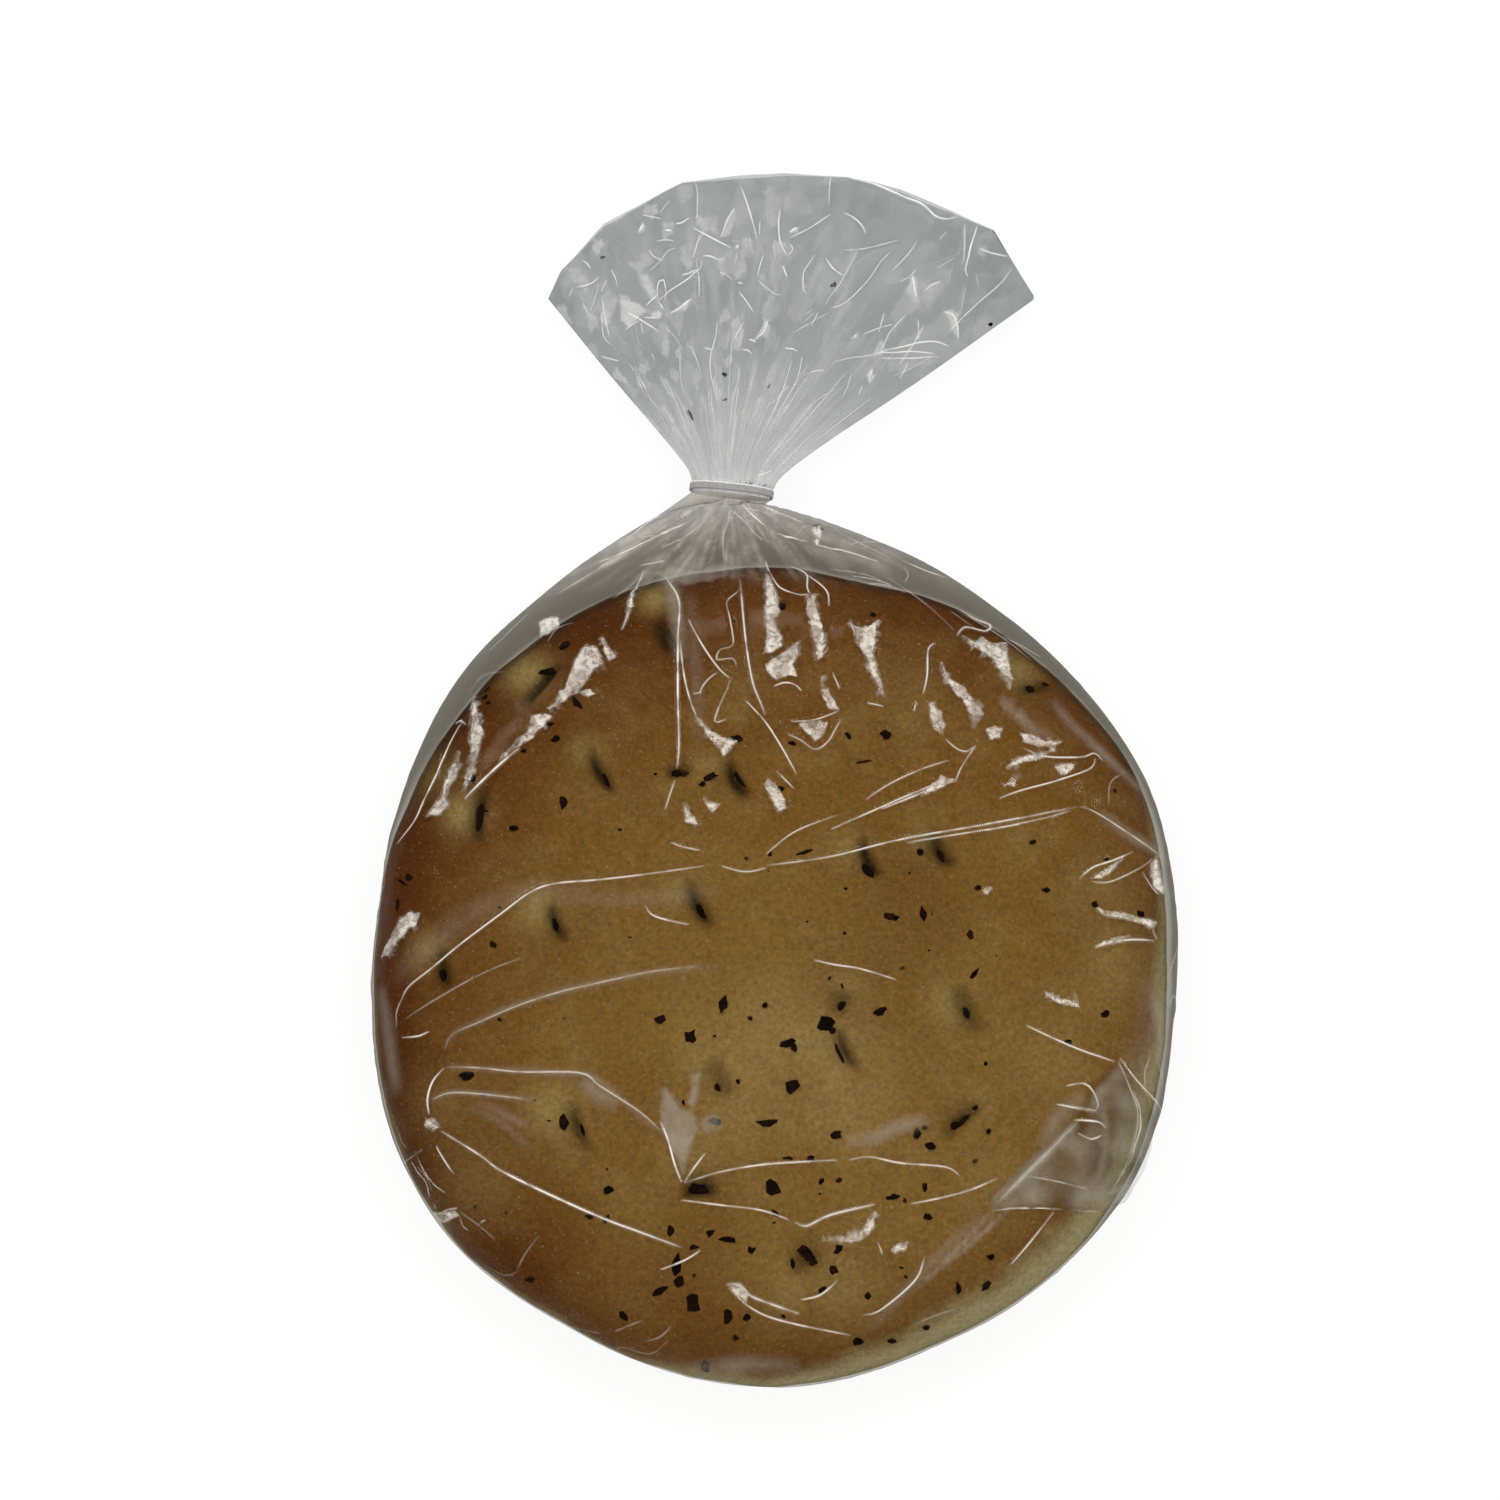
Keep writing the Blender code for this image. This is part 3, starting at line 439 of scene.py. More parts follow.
# Crinkles of the fan, in the same way as the creases.
FAN_CREASES = (
    (0.5, 1.3, 0.55, (569, 298), (573, 289)),
    (0.5, 1.3, 0.65, (576, 288), (583, 287), (592, 283), (600, 276)),
    (0.5, 1.3, 0.55, (602, 293), (604, 285), (607, 281)),
    (0.5, 1.3, 0.55, (611, 270), (617, 282), (618, 289)), (0.4, 1.2, 0.44, (583, 303), (589, 316)),
    (0.5, 1.4, 0.55, (601, 311), (604, 337), (612, 346)), (0.6, 1.3, 0.65, (625, 330), (640, 322)),
    (0.5, 1.2, 0.55, (641, 324), (643, 336)),
    (0.7, 1.3, 0.76, (659, 302), (657, 290), (660, 282), (664, 281), (666, 295), (664, 302)),
    (0.7, 1.4, 0.76, (658, 303), (670, 292), (680, 285), (690, 277), (700, 268), (702, 258)),
    (0.7, 1.6, 0.76, (681, 276), (690, 273), (699, 270)),
    (0.8, 2.0, 0.86, (670, 315), (680, 310), (692, 299)),
    (0.5, 1.4, 0.55, (692, 259), (697, 246), (699, 235)),
    (0.7, 1.5, 0.76, (675, 225), (683, 223), (690, 218)),
    (0.5, 1.4, 0.44, (648, 274), (655, 268), (660, 262), (668, 252), (677, 249)),
    (0.5, 1.2, 0.55, (648, 250), (655, 258), (664, 262)),
    (0.5, 1.2, 0.44, (660, 214), (668, 203), (671, 199)),
    (0.4, 1.2, 0.44, (642, 216), (655, 218), (662, 220)), (0.9, 2.0, 0.97, (639, 232), (644, 224)),
    (0.8, 1.6, 0.97, (665, 232), (672, 231)), (0.5, 1.2, 0.44, (655, 242), (668, 241), (675, 242)),
    (0.5, 1.4, 0.44, (697, 220), (698, 195), (696, 183)),
    (0.6, 3.0, 0.55, (721, 238), (728, 222), (736, 209)),
    (0.9, 1.8, 0.86, (717, 320), (716, 340), (711, 358), (711, 375), (716, 405)),
    (0.5, 1.2, 0.55, (704, 350), (712, 351)),
    (0.7, 1.4, 0.65, (739, 372), (737, 390), (733, 410), (730, 440)),
    (0.9, 2.2, 0.86, (755, 344), (764, 335), (769, 321)),
    (0.6, 1.4, 0.65, (741, 353), (747, 354), (752, 358)),
    (0.7, 1.4, 0.65, (764, 256), (760, 268), (757, 279)),
    (0.5, 1.3, 0.44, (757, 281), (765, 289), (775, 296), (781, 297)),
    (0.7, 1.3, 0.76, (780, 210), (779, 225), (780, 243), (786, 257)),
    (0.5, 1.2, 0.55, (786, 258), (793, 250), (789, 245)),
    (0.6, 1.4, 0.65, (790, 240), (800, 234), (811, 228), (832, 213)),
    (0.6, 1.4, 0.65, (784, 350), (797, 354)),
    (0.6, 1.5, 0.55, (628, 363), (636, 375), (642, 390), (647, 402)),
    (0.5, 1.3, 0.55, (634, 365), (645, 390), (655, 410)), (0.6, 1.3, 0.55, (760, 222), (759, 236)),
    (0.5, 1.3, 0.55, (775, 408), (788, 392)), (0.5, 1.3, 0.55, (754, 415), (761, 403)),
    (0.5, 1.3, 0.44, (776, 421), (790, 409)), (0.8, 2.0, 0.86, (736, 250), (738, 247)),
    (0.7, 1.3, 0.76, (816, 254), (808, 265), (804, 273), (803, 290), (807, 294)),
    (0.6, 1.3, 0.65, (825, 258), (832, 268), (840, 275), (846, 277)),
    (0.6, 1.3, 0.65, (842, 212), (853, 218), (863, 229), (866, 237)),
    (0.5, 1.3, 0.44, (842, 251), (865, 250), (885, 245), (900, 241)),
    (0.5, 1.3, 0.44, (858, 251), (852, 262), (840, 285), (828, 300), (827, 307)),
    (0.6, 1.4, 0.65, (891, 252), (880, 264), (868, 281), (850, 300), (840, 307), (830, 308)),
    (0.6, 1.3, 0.55, (890, 275), (903, 262), (912, 250), (917, 240)),
    (1.0, 1.8, 0.97, (846, 177), (870, 185), (900, 196), (922, 206), (936, 219), (948, 220), (958, 217)),
    (0.5, 1.3, 0.44, (965, 223), (964, 240), (963, 265)),
    (0.8, 1.3, 0.86, (977, 225), (970, 250), (965, 270), (968, 277)),
    (0.7, 1.6, 0.65, (978, 249), (990, 254), (1009, 257)),
    (0.6, 1.5, 0.55, (948, 334), (960, 320), (980, 301), (1000, 285), (1013, 268)),
    (0.8, 2.6, 0.65, (944, 311), (953, 316), (958, 328), (959, 340)),
    (0.5, 1.3, 0.55, (918, 320), (919, 340)), (0.6, 4.0, 0.76, (912, 276), (914, 288), (917, 298)),
    (0.6, 3.0, 0.65, (922, 293), (932, 286), (941, 282)),
    (0.8, 1.5, 0.86, (880, 354), (900, 348), (920, 343), (936, 342), (950, 347)),
    (0.7, 1.4, 0.76, (872, 356), (890, 354), (910, 352), (937, 354)),
    (0.6, 1.4, 0.65, (880, 360), (910, 359), (940, 357)),
    (0.5, 1.4, 0.44, (830, 368), (845, 362), (880, 357)),
    (0.6, 2.6, 0.55, (880, 354), (885, 345), (890, 334), (906, 315)),
    (0.8, 2.0, 0.76, (868, 384), (872, 371)), (0.5, 1.3, 0.55, (858, 399), (862, 388)),
    (0.5, 1.3, 0.55, (908, 362), (902, 375), (899, 380)),
    (0.4, 1.5, 0.44, (800, 425), (815, 408), (835, 392)),
    (0.4, 1.5, 0.44, (792, 335), (805, 328), (830, 313)), (0.7, 1.8, 0.76, (853, 342), (857, 336)),
    (0.8, 1.8, 0.86, (790, 234), (797, 229)), (0.6, 1.3, 0.55, (809, 377), (815, 375), (824, 373)),
    (0.5, 1.3, 0.55, (803, 388), (807, 380)),
    (0.7, 1.3, 0.55, (680, 428), (690, 447), (697, 465), (701, 477)),
    (0.6, 1.3, 0.55, (697, 442), (704, 456)),
    (0.5, 1.4, 0.44, (706, 400), (708, 430), (712, 455), (716, 478)),
    (0.5, 1.4, 0.44, (735, 440), (731, 460), (727, 477)),
    (0.5, 1.4, 0.44, (750, 430), (744, 455), (738, 478)),
    (0.4, 1.4, 0.44, (770, 430), (755, 455), (744, 476)),
    (0.4, 1.4, 0.44, (793, 405), (775, 428), (757, 455)),
    (0.7, 1.4, 0.65, (757, 486), (764, 483), (772, 480)),
    (0.4, 1.4, 0.44, (785, 440), (768, 462), (756, 478)),
)

# Cloudy streaks of doubled film over the loaf: half width, cloudiness, then the pixels along each.
CLOUDY_STREAKS = (
    (5.0, 0.2, (392, 985), (432, 945), (475, 912), (520, 894), (560, 890), (600, 892)),
    (3.4, 0.18, (545, 897), (600, 900), (660, 898), (720, 890)),
    (3.8, 0.5, (382, 985), (388, 1030), (392, 1060), (398, 1095)),
    (3.2, 0.7, (666, 560), (672, 590), (678, 630), (680, 660)),
    (3.4, 0.22, (690, 590), (695, 660), (700, 745)),
    (2.8, 0.6, (1050, 700), (1080, 733), (1120, 770), (1146, 797)),
    (2.4, 0.45, (1000, 700), (1022, 720), (1045, 742)), (2.8, 0.55, (1098, 812), (1130, 836), (1166, 862)),
    (3.0, 0.6, (845, 1142), (872, 1138), (900, 1126), (930, 1119)),
    (2.0, 0.35, (478, 1102), (500, 1112), (530, 1128)), (4.2, 0.55, (583, 1076), (598, 1092), (620, 1106)),
    (1.6, 0.42, (445, 1048), (455, 1033), (480, 1021), (520, 1004), (580, 987), (650, 973), (720, 966)),
    (1.5, 0.45, (445, 1067), (500, 1070), (560, 1073), (590, 1076), (625, 1102), (660, 1132)),
    (1.4, 0.4, (430, 1101), (450, 1093), (480, 1094), (540, 1101)),
    (1.8, 0.3, (470, 1105), (505, 1125), (530, 1150)),
    (2.2, 0.34, (985, 1213), (955, 1240), (920, 1275), (868, 1330)),
    (1.1, 0.62, (995, 1208), (960, 1246), (915, 1290)), (1.0, 0.55, (1016, 1200), (975, 1240), (930, 1276)),
    (2.3, 1.0, (990, 1207), (1010, 1188), (1036, 1163), (1056, 1143), (1076, 1122)),
    (3.4, 0.45, (1040, 1150), (1058, 1118), (1085, 1095)),
    (2.2, 0.45, (1094, 1090), (1104, 1125), (1100, 1165), (1085, 1200)),
    (4.5, 0.6, (1152, 985), (1160, 1030), (1158, 1075)), (4.0, 0.55, (690, 1367), (740, 1364), (800, 1366)),
)

# Cloudy areas, one of them a painted glint, and painted highlight patches of the fan: how far their edges
# fade, their amount of cloud and painted highlight, corners.
CLOUDY_AREAS_AND_GLINT = (
    (1.6, 0.72, (662, 1098), (664, 1088), (672, 1095), (678, 1108), (692, 1113), (699, 1130),
     (690, 1146), (683, 1172), (677, 1158), (666, 1140), (660, 1118)),
    (1.4, 0.66, (693, 1076), (699, 1073), (697, 1093), (692, 1106), (689, 1104)),
    (2.0, 0.45, (700, 1120), (716, 1114), (722, 1126), (704, 1136)),
    (1.2, 0.5, (652, 573), (664, 580), (690, 585), (712, 581), (730, 575), (725, 565), (700, 569),
     (666, 569)),
    (5.0, 0.15, (1143, 980), (1160, 970), (1170, 1000), (1167, 1060), (1150, 1102), (1122, 1066),
     (1134, 1035)),
    # A glint, painted as a bright cloudy area.
    (0.8, 1.0, (1107, 1194), (1113, 1188), (1121, 1184), (1134, 1182), (1130, 1188), (1120, 1191)),
)
FAN_PAINTED_HIGHLIGHTS = (
    (0.9, 0.94, (620, 296), (628, 302), (640, 305), (647, 313), (638, 320), (629, 327), (621, 322)),
    (1.0, 0.65, (604, 296), (612, 300), (611, 322), (604, 330), (601, 312)),
    (2.0, 0.8, (639, 276), (648, 276), (655, 290), (658, 302), (650, 300), (643, 288)),
    (1.2, 1.0, (650, 314), (662, 314), (662, 321), (652, 321)),
    (1.4, 0.72, (720, 238), (726, 222), (733, 208), (737, 212), (734, 226), (727, 238)),
    (1.0, 1.0, (754, 344), (760, 333), (766, 322), (770, 330), (767, 340), (759, 341)),
    (1.0, 1.0, (671, 315), (680, 307), (690, 300), (686, 311), (677, 315)),
    (2.4, 0.87, (906, 290), (909, 277), (915, 278), (918, 296), (921, 305), (911, 301)),
    (2.4, 0.72, (922, 296), (927, 284), (941, 281), (938, 291), (931, 299)),
    (1.2, 0.94, (944, 312), (952, 310), (959, 314), (957, 322), (959, 341), (952, 330), (948, 320)),
    (1.4, 0.87, (872, 356), (878, 345), (881, 340), (884, 353), (881, 358)),
    (1.2, 1.0, (866, 378), (872, 369), (873, 378), (870, 388)),
    (1.2, 0.8, (851, 341), (857, 336), (857, 342)),
    (1.0, 1.0, (638, 233), (642, 223), (646, 226), (643, 233)),
    (0.8, 1.0, (735, 250), (738, 245), (740, 250)),
    (0.8, 1.0, (788, 235), (793, 229), (800, 228), (797, 234)),
    (3.0, 0.58, (600, 298), (608, 290), (618, 300), (612, 318), (602, 320)),
    (3.0, 0.51, (975, 248), (988, 246), (985, 258), (977, 258)),
)

# The flap of film folded over the loaf's near right edge, and its creases.
FLAP_OUTLINE = (
    (988, 1211), (1016, 1179), (1046, 1149), (1077, 1117), (1096, 1085), (1117, 1062), (1137, 1084),
    (1150, 1118), (1147, 1150), (1130, 1192), (1098, 1209), (1040, 1208),
)
FLAP_CREASES = (
    (0.5, 1.3, 0.9, (990, 1211), (1018, 1208), (1060, 1208), (1096, 1209)),
    (0.8, 2.4, 0.18, (1000, 1199), (1025, 1174), (1052, 1147), (1078, 1121)),
    (0.7, 1.4, 0.67, (1060, 1105), (1080, 1108), (1097, 1112)),
    (0.8, 1.4, 0.67, (1074, 1120), (1098, 1122), (1104, 1129)),
    (0.7, 1.4, 0.67, (1076, 1133), (1090, 1139), (1100, 1134)),
    (0.7, 1.5, 0.54, (1130, 1090), (1136, 1115), (1131, 1145), (1118, 1175)),
    (0.6, 1.5, 0.3, (1020, 1176), (1050, 1180), (1085, 1188)),
)


# ---------------------------------------------------------------- small helpers

def smoothstep(low, high, value):
    share = np.clip((np.asarray(value, float) - low) / (high - low), 0.0, 1.0)
    return share * share * (3.0 - 2.0 * share)


def mix(start, end, share):
    return start + (end - start) * share


def noise_at(points, scale, seed):
    """Smooth noise from about -1 to 1 at rows of 2D or 3D points; scale is the size of its lumps."""
    values = np.empty(len(points))
    for index, point in enumerate(points):
        depth = point[2] / scale if len(point) > 2 else 0.0
        place = Vector((point[0] / scale + seed * 17.3, point[1] / scale - seed * 9.1, depth + seed))
        values[index] = noise.noise(place)
    return values * 1.6


def unit(rows):
    return rows / np.maximum(np.linalg.norm(rows, axis=1), 1e-9)[:, None]


def polar(points):
    """Distances from the loaf's centre and directions about it, seen from above."""
    return np.hypot(points[:, 0], points[:, 1]), np.arctan2(points[:, 1], points[:, 0])


def around(radius, angle, *height):
    """Points at distances and in directions about the loaf's centre."""
    return np.stack((radius * np.cos(angle), radius * np.sin(angle), *height), axis=1)


def from_picture(px, py, height):
    """The place at a height that is seen at a pixel of the picture."""
    right = (px / PICTURE_SIZE - 0.5) * CAMERA_SENSOR / CAMERA_LENS
    up = (0.5 - py / PICTURE_SIZE) * CAMERA_SENSOR / CAMERA_LENS
    ray = Vector((right, 0.0, 0.0)) + CAMERA_UP * up - CAMERA_BACK
    return CAMERA_PLACE + ray * ((height - CAMERA_PLACE.z) / ray.z)


def softbox_direction(compass, elevation):
    turn = math.radians(compass)
    rise = math.radians(elevation)
    return Vector((math.cos(turn) * math.cos(rise), math.sin(turn) * math.cos(rise), math.sin(rise)))


# ---------------------------------------------------------------- sections of the bag and the loaf

def outline_radius(outline, angle):
    """Radius of an outline in directions about the loaf's centre, with its corners a little rounded."""
    angles, radii = zip(*outline)
    degrees = np.degrees(angle)
    shifts = (-OUTLINE_SOFTNESS, 0, OUTLINE_SOFTNESS)
    return sum(np.interp(degrees + shift, angles, radii, period=360) for shift in shifts) / len(shifts)


def bag_radius(angle):
    """The film's silhouette radius."""
    return outline_radius(BAG_OUTLINE, angle)


def section_power(edge):
    """How round the film's section is, from snug round the loaf to taut towards the neck."""
    return mix(ROUND_SECTION, TAUT_SECTION, np.clip((edge - SNUG_RADIUS) / SLACK_FOR_TAUT, 0.0, 1.0))


def loaf_radius(angle):
    """The loaf's silhouette radius, kept inside the film's."""
    return np.minimum(outline_radius(LOAF_OUTLINE, angle), bag_radius(angle) - LOAF_CLEARANCE)


class Sheet:
    """A sheet round the loaf as sections from its centre to the silhouette, measured along it."""

    def __init__(self, edge_radius, start, middle, inner_height, drop, power=None):
        self.angles = np.radians(np.linspace(-180, 180, SHEET_DIRECTIONS))
        edge = edge_radius(self.angles)[:, None]
        power = np.full_like(edge, power) if power else section_power(edge)
        flat = np.linspace(0.0, 1.0, SHEET_FLAT_STEPS)[None, :] * start * np.ones_like(edge)
        turn = np.linspace(0.0, math.pi / 2, SHEET_RIM_STEPS)[None, 1:]
        rim = start + (edge - start) * np.sin(turn) ** (2 / power)
        flat_height = inner_height - drop * (flat / start) ** 2
        fall = np.cos(turn) ** (2 / power)
        rim_height = middle + (inner_height - drop - middle) * fall
        radius = np.concatenate((flat, rim), axis=1)
        height = np.concatenate((flat_height, rim_height), axis=1)
        steps = np.hypot(np.diff(radius, axis=1), np.diff(height, axis=1))
        arc = np.concatenate((np.zeros_like(edge), np.cumsum(steps, axis=1)), axis=1)
        self.length = arc[:, -1]
        self.shares = np.linspace(0.0, 1.0, SHEET_SHARES)
        rows = range(len(self.angles))
        self.radius = np.array([np.interp(self.shares * arc[i, -1], arc[i], radius[i]) for i in rows])
        self.height = np.array([np.interp(self.shares * arc[i, -1], arc[i], height[i]) for i in rows])

    def reach(self, angle):
        """Length of the section in a direction, along the sheet."""
        return np.interp(angle, self.angles, self.length, period=2 * math.pi)

    def row_at(self, angle):
        return (angle + math.pi) / (2 * math.pi) * (len(self.angles) - 1)

    def place(self, flat):
        """Points of the sheet in space, for points of the unrolled sheet."""
        distance, angle = polar(flat)
        row = self.row_at(angle)
        low_row = np.clip(row.astype(int), 0, len(self.angles) - 2)
        row_share = row - low_row
        column = np.clip(distance / self.reach(angle), 0.0, 1.0) * (len(self.shares) - 1)
        low_column = np.clip(column.astype(int), 0, len(self.shares) - 2)
        column_share = column - low_column

        def sample(table):
            near = mix(table[low_row, low_column], table[low_row, low_column + 1], column_share)
            far = mix(table[low_row + 1, low_column], table[low_row + 1, low_column + 1], column_share)
            return mix(near, far, row_share)

        return around(sample(self.radius), angle, sample(self.height))

    def unroll(self, x, y):
        """The unrolled place of a point seen from above."""
        angle = math.atan2(y, x)
        row = int(round(self.row_at(angle)))
        share = np.interp(math.hypot(x, y), self.radius[row], self.shares)
        distance = share * self.length[row]
        return distance * math.cos(angle), distance * math.sin(angle)


def normals_of(surface, flat, step=0.4):
    """Unit normals of a surface function at unrolled points, turned upwards."""
    along = surface(flat + (step, 0.0)) - surface(flat - (step, 0.0))
    across = surface(flat + (0.0, step)) - surface(flat - (0.0, step))
    normal = unit(np.cross(along, across))
    normal[normal[:, 2] < -0.05] *= -1.0
    return normal


def loaf_height(x, y):
    """Height of the loaf's crust at places seen from above, far below outside its outline."""
    radius = np.hypot(x, y)
    edge = loaf_radius(np.arctan2(y, x))
    dome = LOAF_TOP - DOME_DROP * (radius / RIM_START) ** 2
    share = np.clip((radius - RIM_START) / (edge - RIM_START), 0.0, 1.0)
    fall = (1.0 - share ** LOAF_SECTION) ** (1.0 / LOAF_SECTION)
    rim = MIDDLE_HEIGHT + (LOAF_TOP - DOME_DROP - MIDDLE_HEIGHT) * fall
    return np.where(radius < RIM_START, dome, np.where(radius < edge, rim, -99.0))


def rest_on_loaf(points):
    """Lift the film where it would run into the loaf."""
    over = loaf_height(points[:, 0], points[:, 1]) + FILM_OVER_LOAF - points[:, 2]
    points[:, 2] += np.where(over > -3.0, 0.5 * (over + np.sqrt(over * over + 0.3)), 0.0)
    return points


def on_loaf(px, py):
    """The place on the loaf's crust that is seen at a pixel."""
    height = LOAF_TOP
    for _ in range(8):
        place = from_picture(px, py, height)
        height = max(float(loaf_height(place.x, place.y)), MIDDLE_HEIGHT)
    return place.x, place.y


# ---------------------------------------------------------------- gather, neck and fan

def outline_sides():
    """The outline as two runs of points, left and right, each rising along Y."""
    sides = []
    for first, last in ((268, 97), (-88, 94)):
        angles = np.radians(np.linspace(first, last, 240))
        radii = bag_radius(angles)
        sides.append((radii * np.cos(angles), radii * np.sin(angles)))
    return sides


SIDES = outline_sides()


def share_across(x, y):
    """Where a point lies across the bag, from -1 at its left edge to 1 at its right."""
    (left_x, left_y), (right_x, right_y) = SIDES
    left = np.interp(y, left_y, left_x)
    right = np.interp(y, right_y, right_x)
    return np.clip(2 * (x - left) / (right - left) - 1, -1.0, 1.0)


def pleat(share, waves):
    """Height of a row of pleats across the film, from about -1 to 1."""
    return sum(part * np.sin(turns * math.pi * share + phase) for turns, part, phase in waves)


def neck_section(share):
    """Half the neck's thickness, at places across it."""
    inside = 1.0 - np.abs(share) ** NECK_SQUARENESS
    return NECK_THICKNESS / 2 * np.maximum(inside, 0.0) ** (1.0 / NECK_SQUARENESS)


def gather(points, side):
    """Draw a body sheet's points together towards the neck; side is 1 for the top sheet."""
    gathering = smoothstep(GATHER_START, GATHER_END, points[:, 1])
    share = share_across(points[:, 0], points[:, 1])
    height = mix(points[:, 2], NECK_CENTRE[2], 0.5 * gathering)
    height += side * neck_section(share) * gathering ** 2
    folds = SHOULDER_PLEAT * pleat(share, PLEATS) * gathering
    folds += SHOULDER_FINE_PLEAT * pleat(share, FINE_PLEATS) * gathering ** 2
    folds *= 1.0 - 0.7 * smoothstep(*TIE_APPROACH, points[:, 1])
    points[:, 2] = height + folds * (1.0 - share * share)
    return points


def neck_point(share, along):
    """A place of the neck from above: across it from -1 to 1, and along it from its middle."""
    across = share * NECK_WIDTH / 2
    x = NECK_CENTRE[0] + across * math.cos(NECK_TILT) - along * math.sin(NECK_TILT)
    y = NECK_CENTRE[1] + across * math.sin(NECK_TILT) + along * math.cos(NECK_TILT)
    return x, y


def mouth_point(share):
    """A place on the mouth's edge, from -1 at its left end to 1 at its right."""
    corners = np.array(MOUTH_OUTLINE, float)
    lengths = np.concatenate(([0.0], np.cumsum(np.linalg.norm(np.diff(corners, axis=0), axis=1))))
    run = (share + 1.0) / 2 * lengths[-1]
    return np.interp(run, lengths, corners[:, 0]), np.interp(run, lengths, corners[:, 1])


def spread(run):
    """How far the fan has opened along its way: hardly before its waist, then evenly."""
    past = (run - FAN_WAIST) / (1.0 - FAN_WAIST)
    return 0.5 * (past + np.sqrt(past * past + FAN_WAIST_SOFTNESS ** 2))


def fan_place(flat, side):
    """Points of the fan and the neck: across the mouth's edge, and along from the neck's tie."""
    share = np.clip(flat[:, 0] / FAN_HALF, -1.0, 1.0)
    run = np.clip(flat[:, 1] / FAN_LENGTH, 0.0, 1.0)
    before = np.minimum(flat[:, 1], 0.0)
    start_x, start_y = neck_point(share, NECK_HALF_LENGTH + before)
    end_x, end_y = mouth_point(share)
    x = np.where(run > 0, mix(start_x, end_x, spread(run) / spread(1.0)), start_x)
    y = mix(start_y, end_y, run)
    opening = smoothstep(0.0, 0.45, run)
    settle = smoothstep(0.0, 0.7, run)
    inner = 1.0 - share ** 4
    puff = FAN_PUFF * (0.6 + 0.4 * np.sin(11.0 * share + 3.0 * run)) * inner
    half = mix(neck_section(share), puff, opening)
    near_neck = smoothstep(0.0, 0.08, run) * (1.0 - smoothstep(0.2, 0.75, run))
    folds = FAN_PLEAT * pleat(share, PLEATS) * opening * mix(1.0, 0.12, smoothstep(0.0, 0.5, run))
    folds += FAN_FINE_PLEAT * pleat(share, FINE_PLEATS) * near_neck * inner
    height = mix(NECK_CENTRE[2], FAN_HEIGHT, settle) + folds + side * half
    return np.stack((x, y, height), axis=1)


def on_sheet(sheet, px, py):
    """The unrolled place on the film's upper sheet that is seen at a pixel."""
    height = FILM_TOP
    for _ in range(5):
        place = from_picture(px, py, height)
        flat = sheet.unroll(place.x, place.y)
        height = float(gather(sheet.place(np.array([flat])), 1)[0, 2])
    return flat


class FanMap:
    """Finds the unrolled place in the fan that is seen at a pixel."""

    def __init__(self):
        x, y = np.meshgrid(np.linspace(-FAN_HALF, FAN_HALF, 397), np.linspace(-6.0, FAN_LENGTH, 237))
        self.flat = np.stack((x.ravel(), y.ravel()), axis=1)
        self.placed = fan_place(self.flat, 1)

    def find(self, px, py):
        place = from_picture(px, py, FAN_HEIGHT)
        gap = (self.placed[:, 0] - place.x) ** 2 + (self.placed[:, 1] - place.y) ** 2
        return tuple(self.flat[gap.argmin()])


FAN_MAP = FanMap()


# ---------------------------------------------------------------- creases

def smooth_line(points, step=1.2):
    """A rounded line through a few points, as closely spaced points."""
    points = np.array(points, float)
    if len(points) == 2:
        count = max(int(np.linalg.norm(points[1] - points[0]) / step), 1)
        shares = np.linspace(0.0, 1.0, count + 1)[:, None]
        return points[0] + (points[1] - points[0]) * shares
    padded = np.vstack((2 * points[0] - points[1], points, 2 * points[-1] - points[-2]))
    line = []
    for before, start, end, after in zip(padded, padded[1:], padded[2:], padded[3:]):
        count = max(int(np.linalg.norm(end - start) / step), 1)
        for share in np.arange(count) / count:
            line.append(0.5 * (2 * start + (end - before) * share
                               + (2 * before - 5 * start + 4 * end - after) * share ** 2
                               + (3 * start - before - 3 * end + after) * share ** 3))
    line.append(points[-1])
    return np.array(line)


def close_to(flat, line, margin):
    """Which flat points lie in the rectangle round a line, widened by a margin."""
    low = line.min(0) - margin
    high = line.max(0) + margin
    return np.nonzero(np.all((flat > low) & (flat < high), axis=1))[0]


def gaps_to(spots, start, step):
    """Gaps between spots and segments, the share along each that is closest, and squared lengths."""
    size = np.maximum((step * step).sum(1), 1e-9)
    off = spots[:, None, :] - start[None]
    share = np.clip((off * step[None]).sum(2) / size[None], 0.0, 1.0)
    return np.linalg.norm(off - share[..., None] * step[None], axis=2), share, size


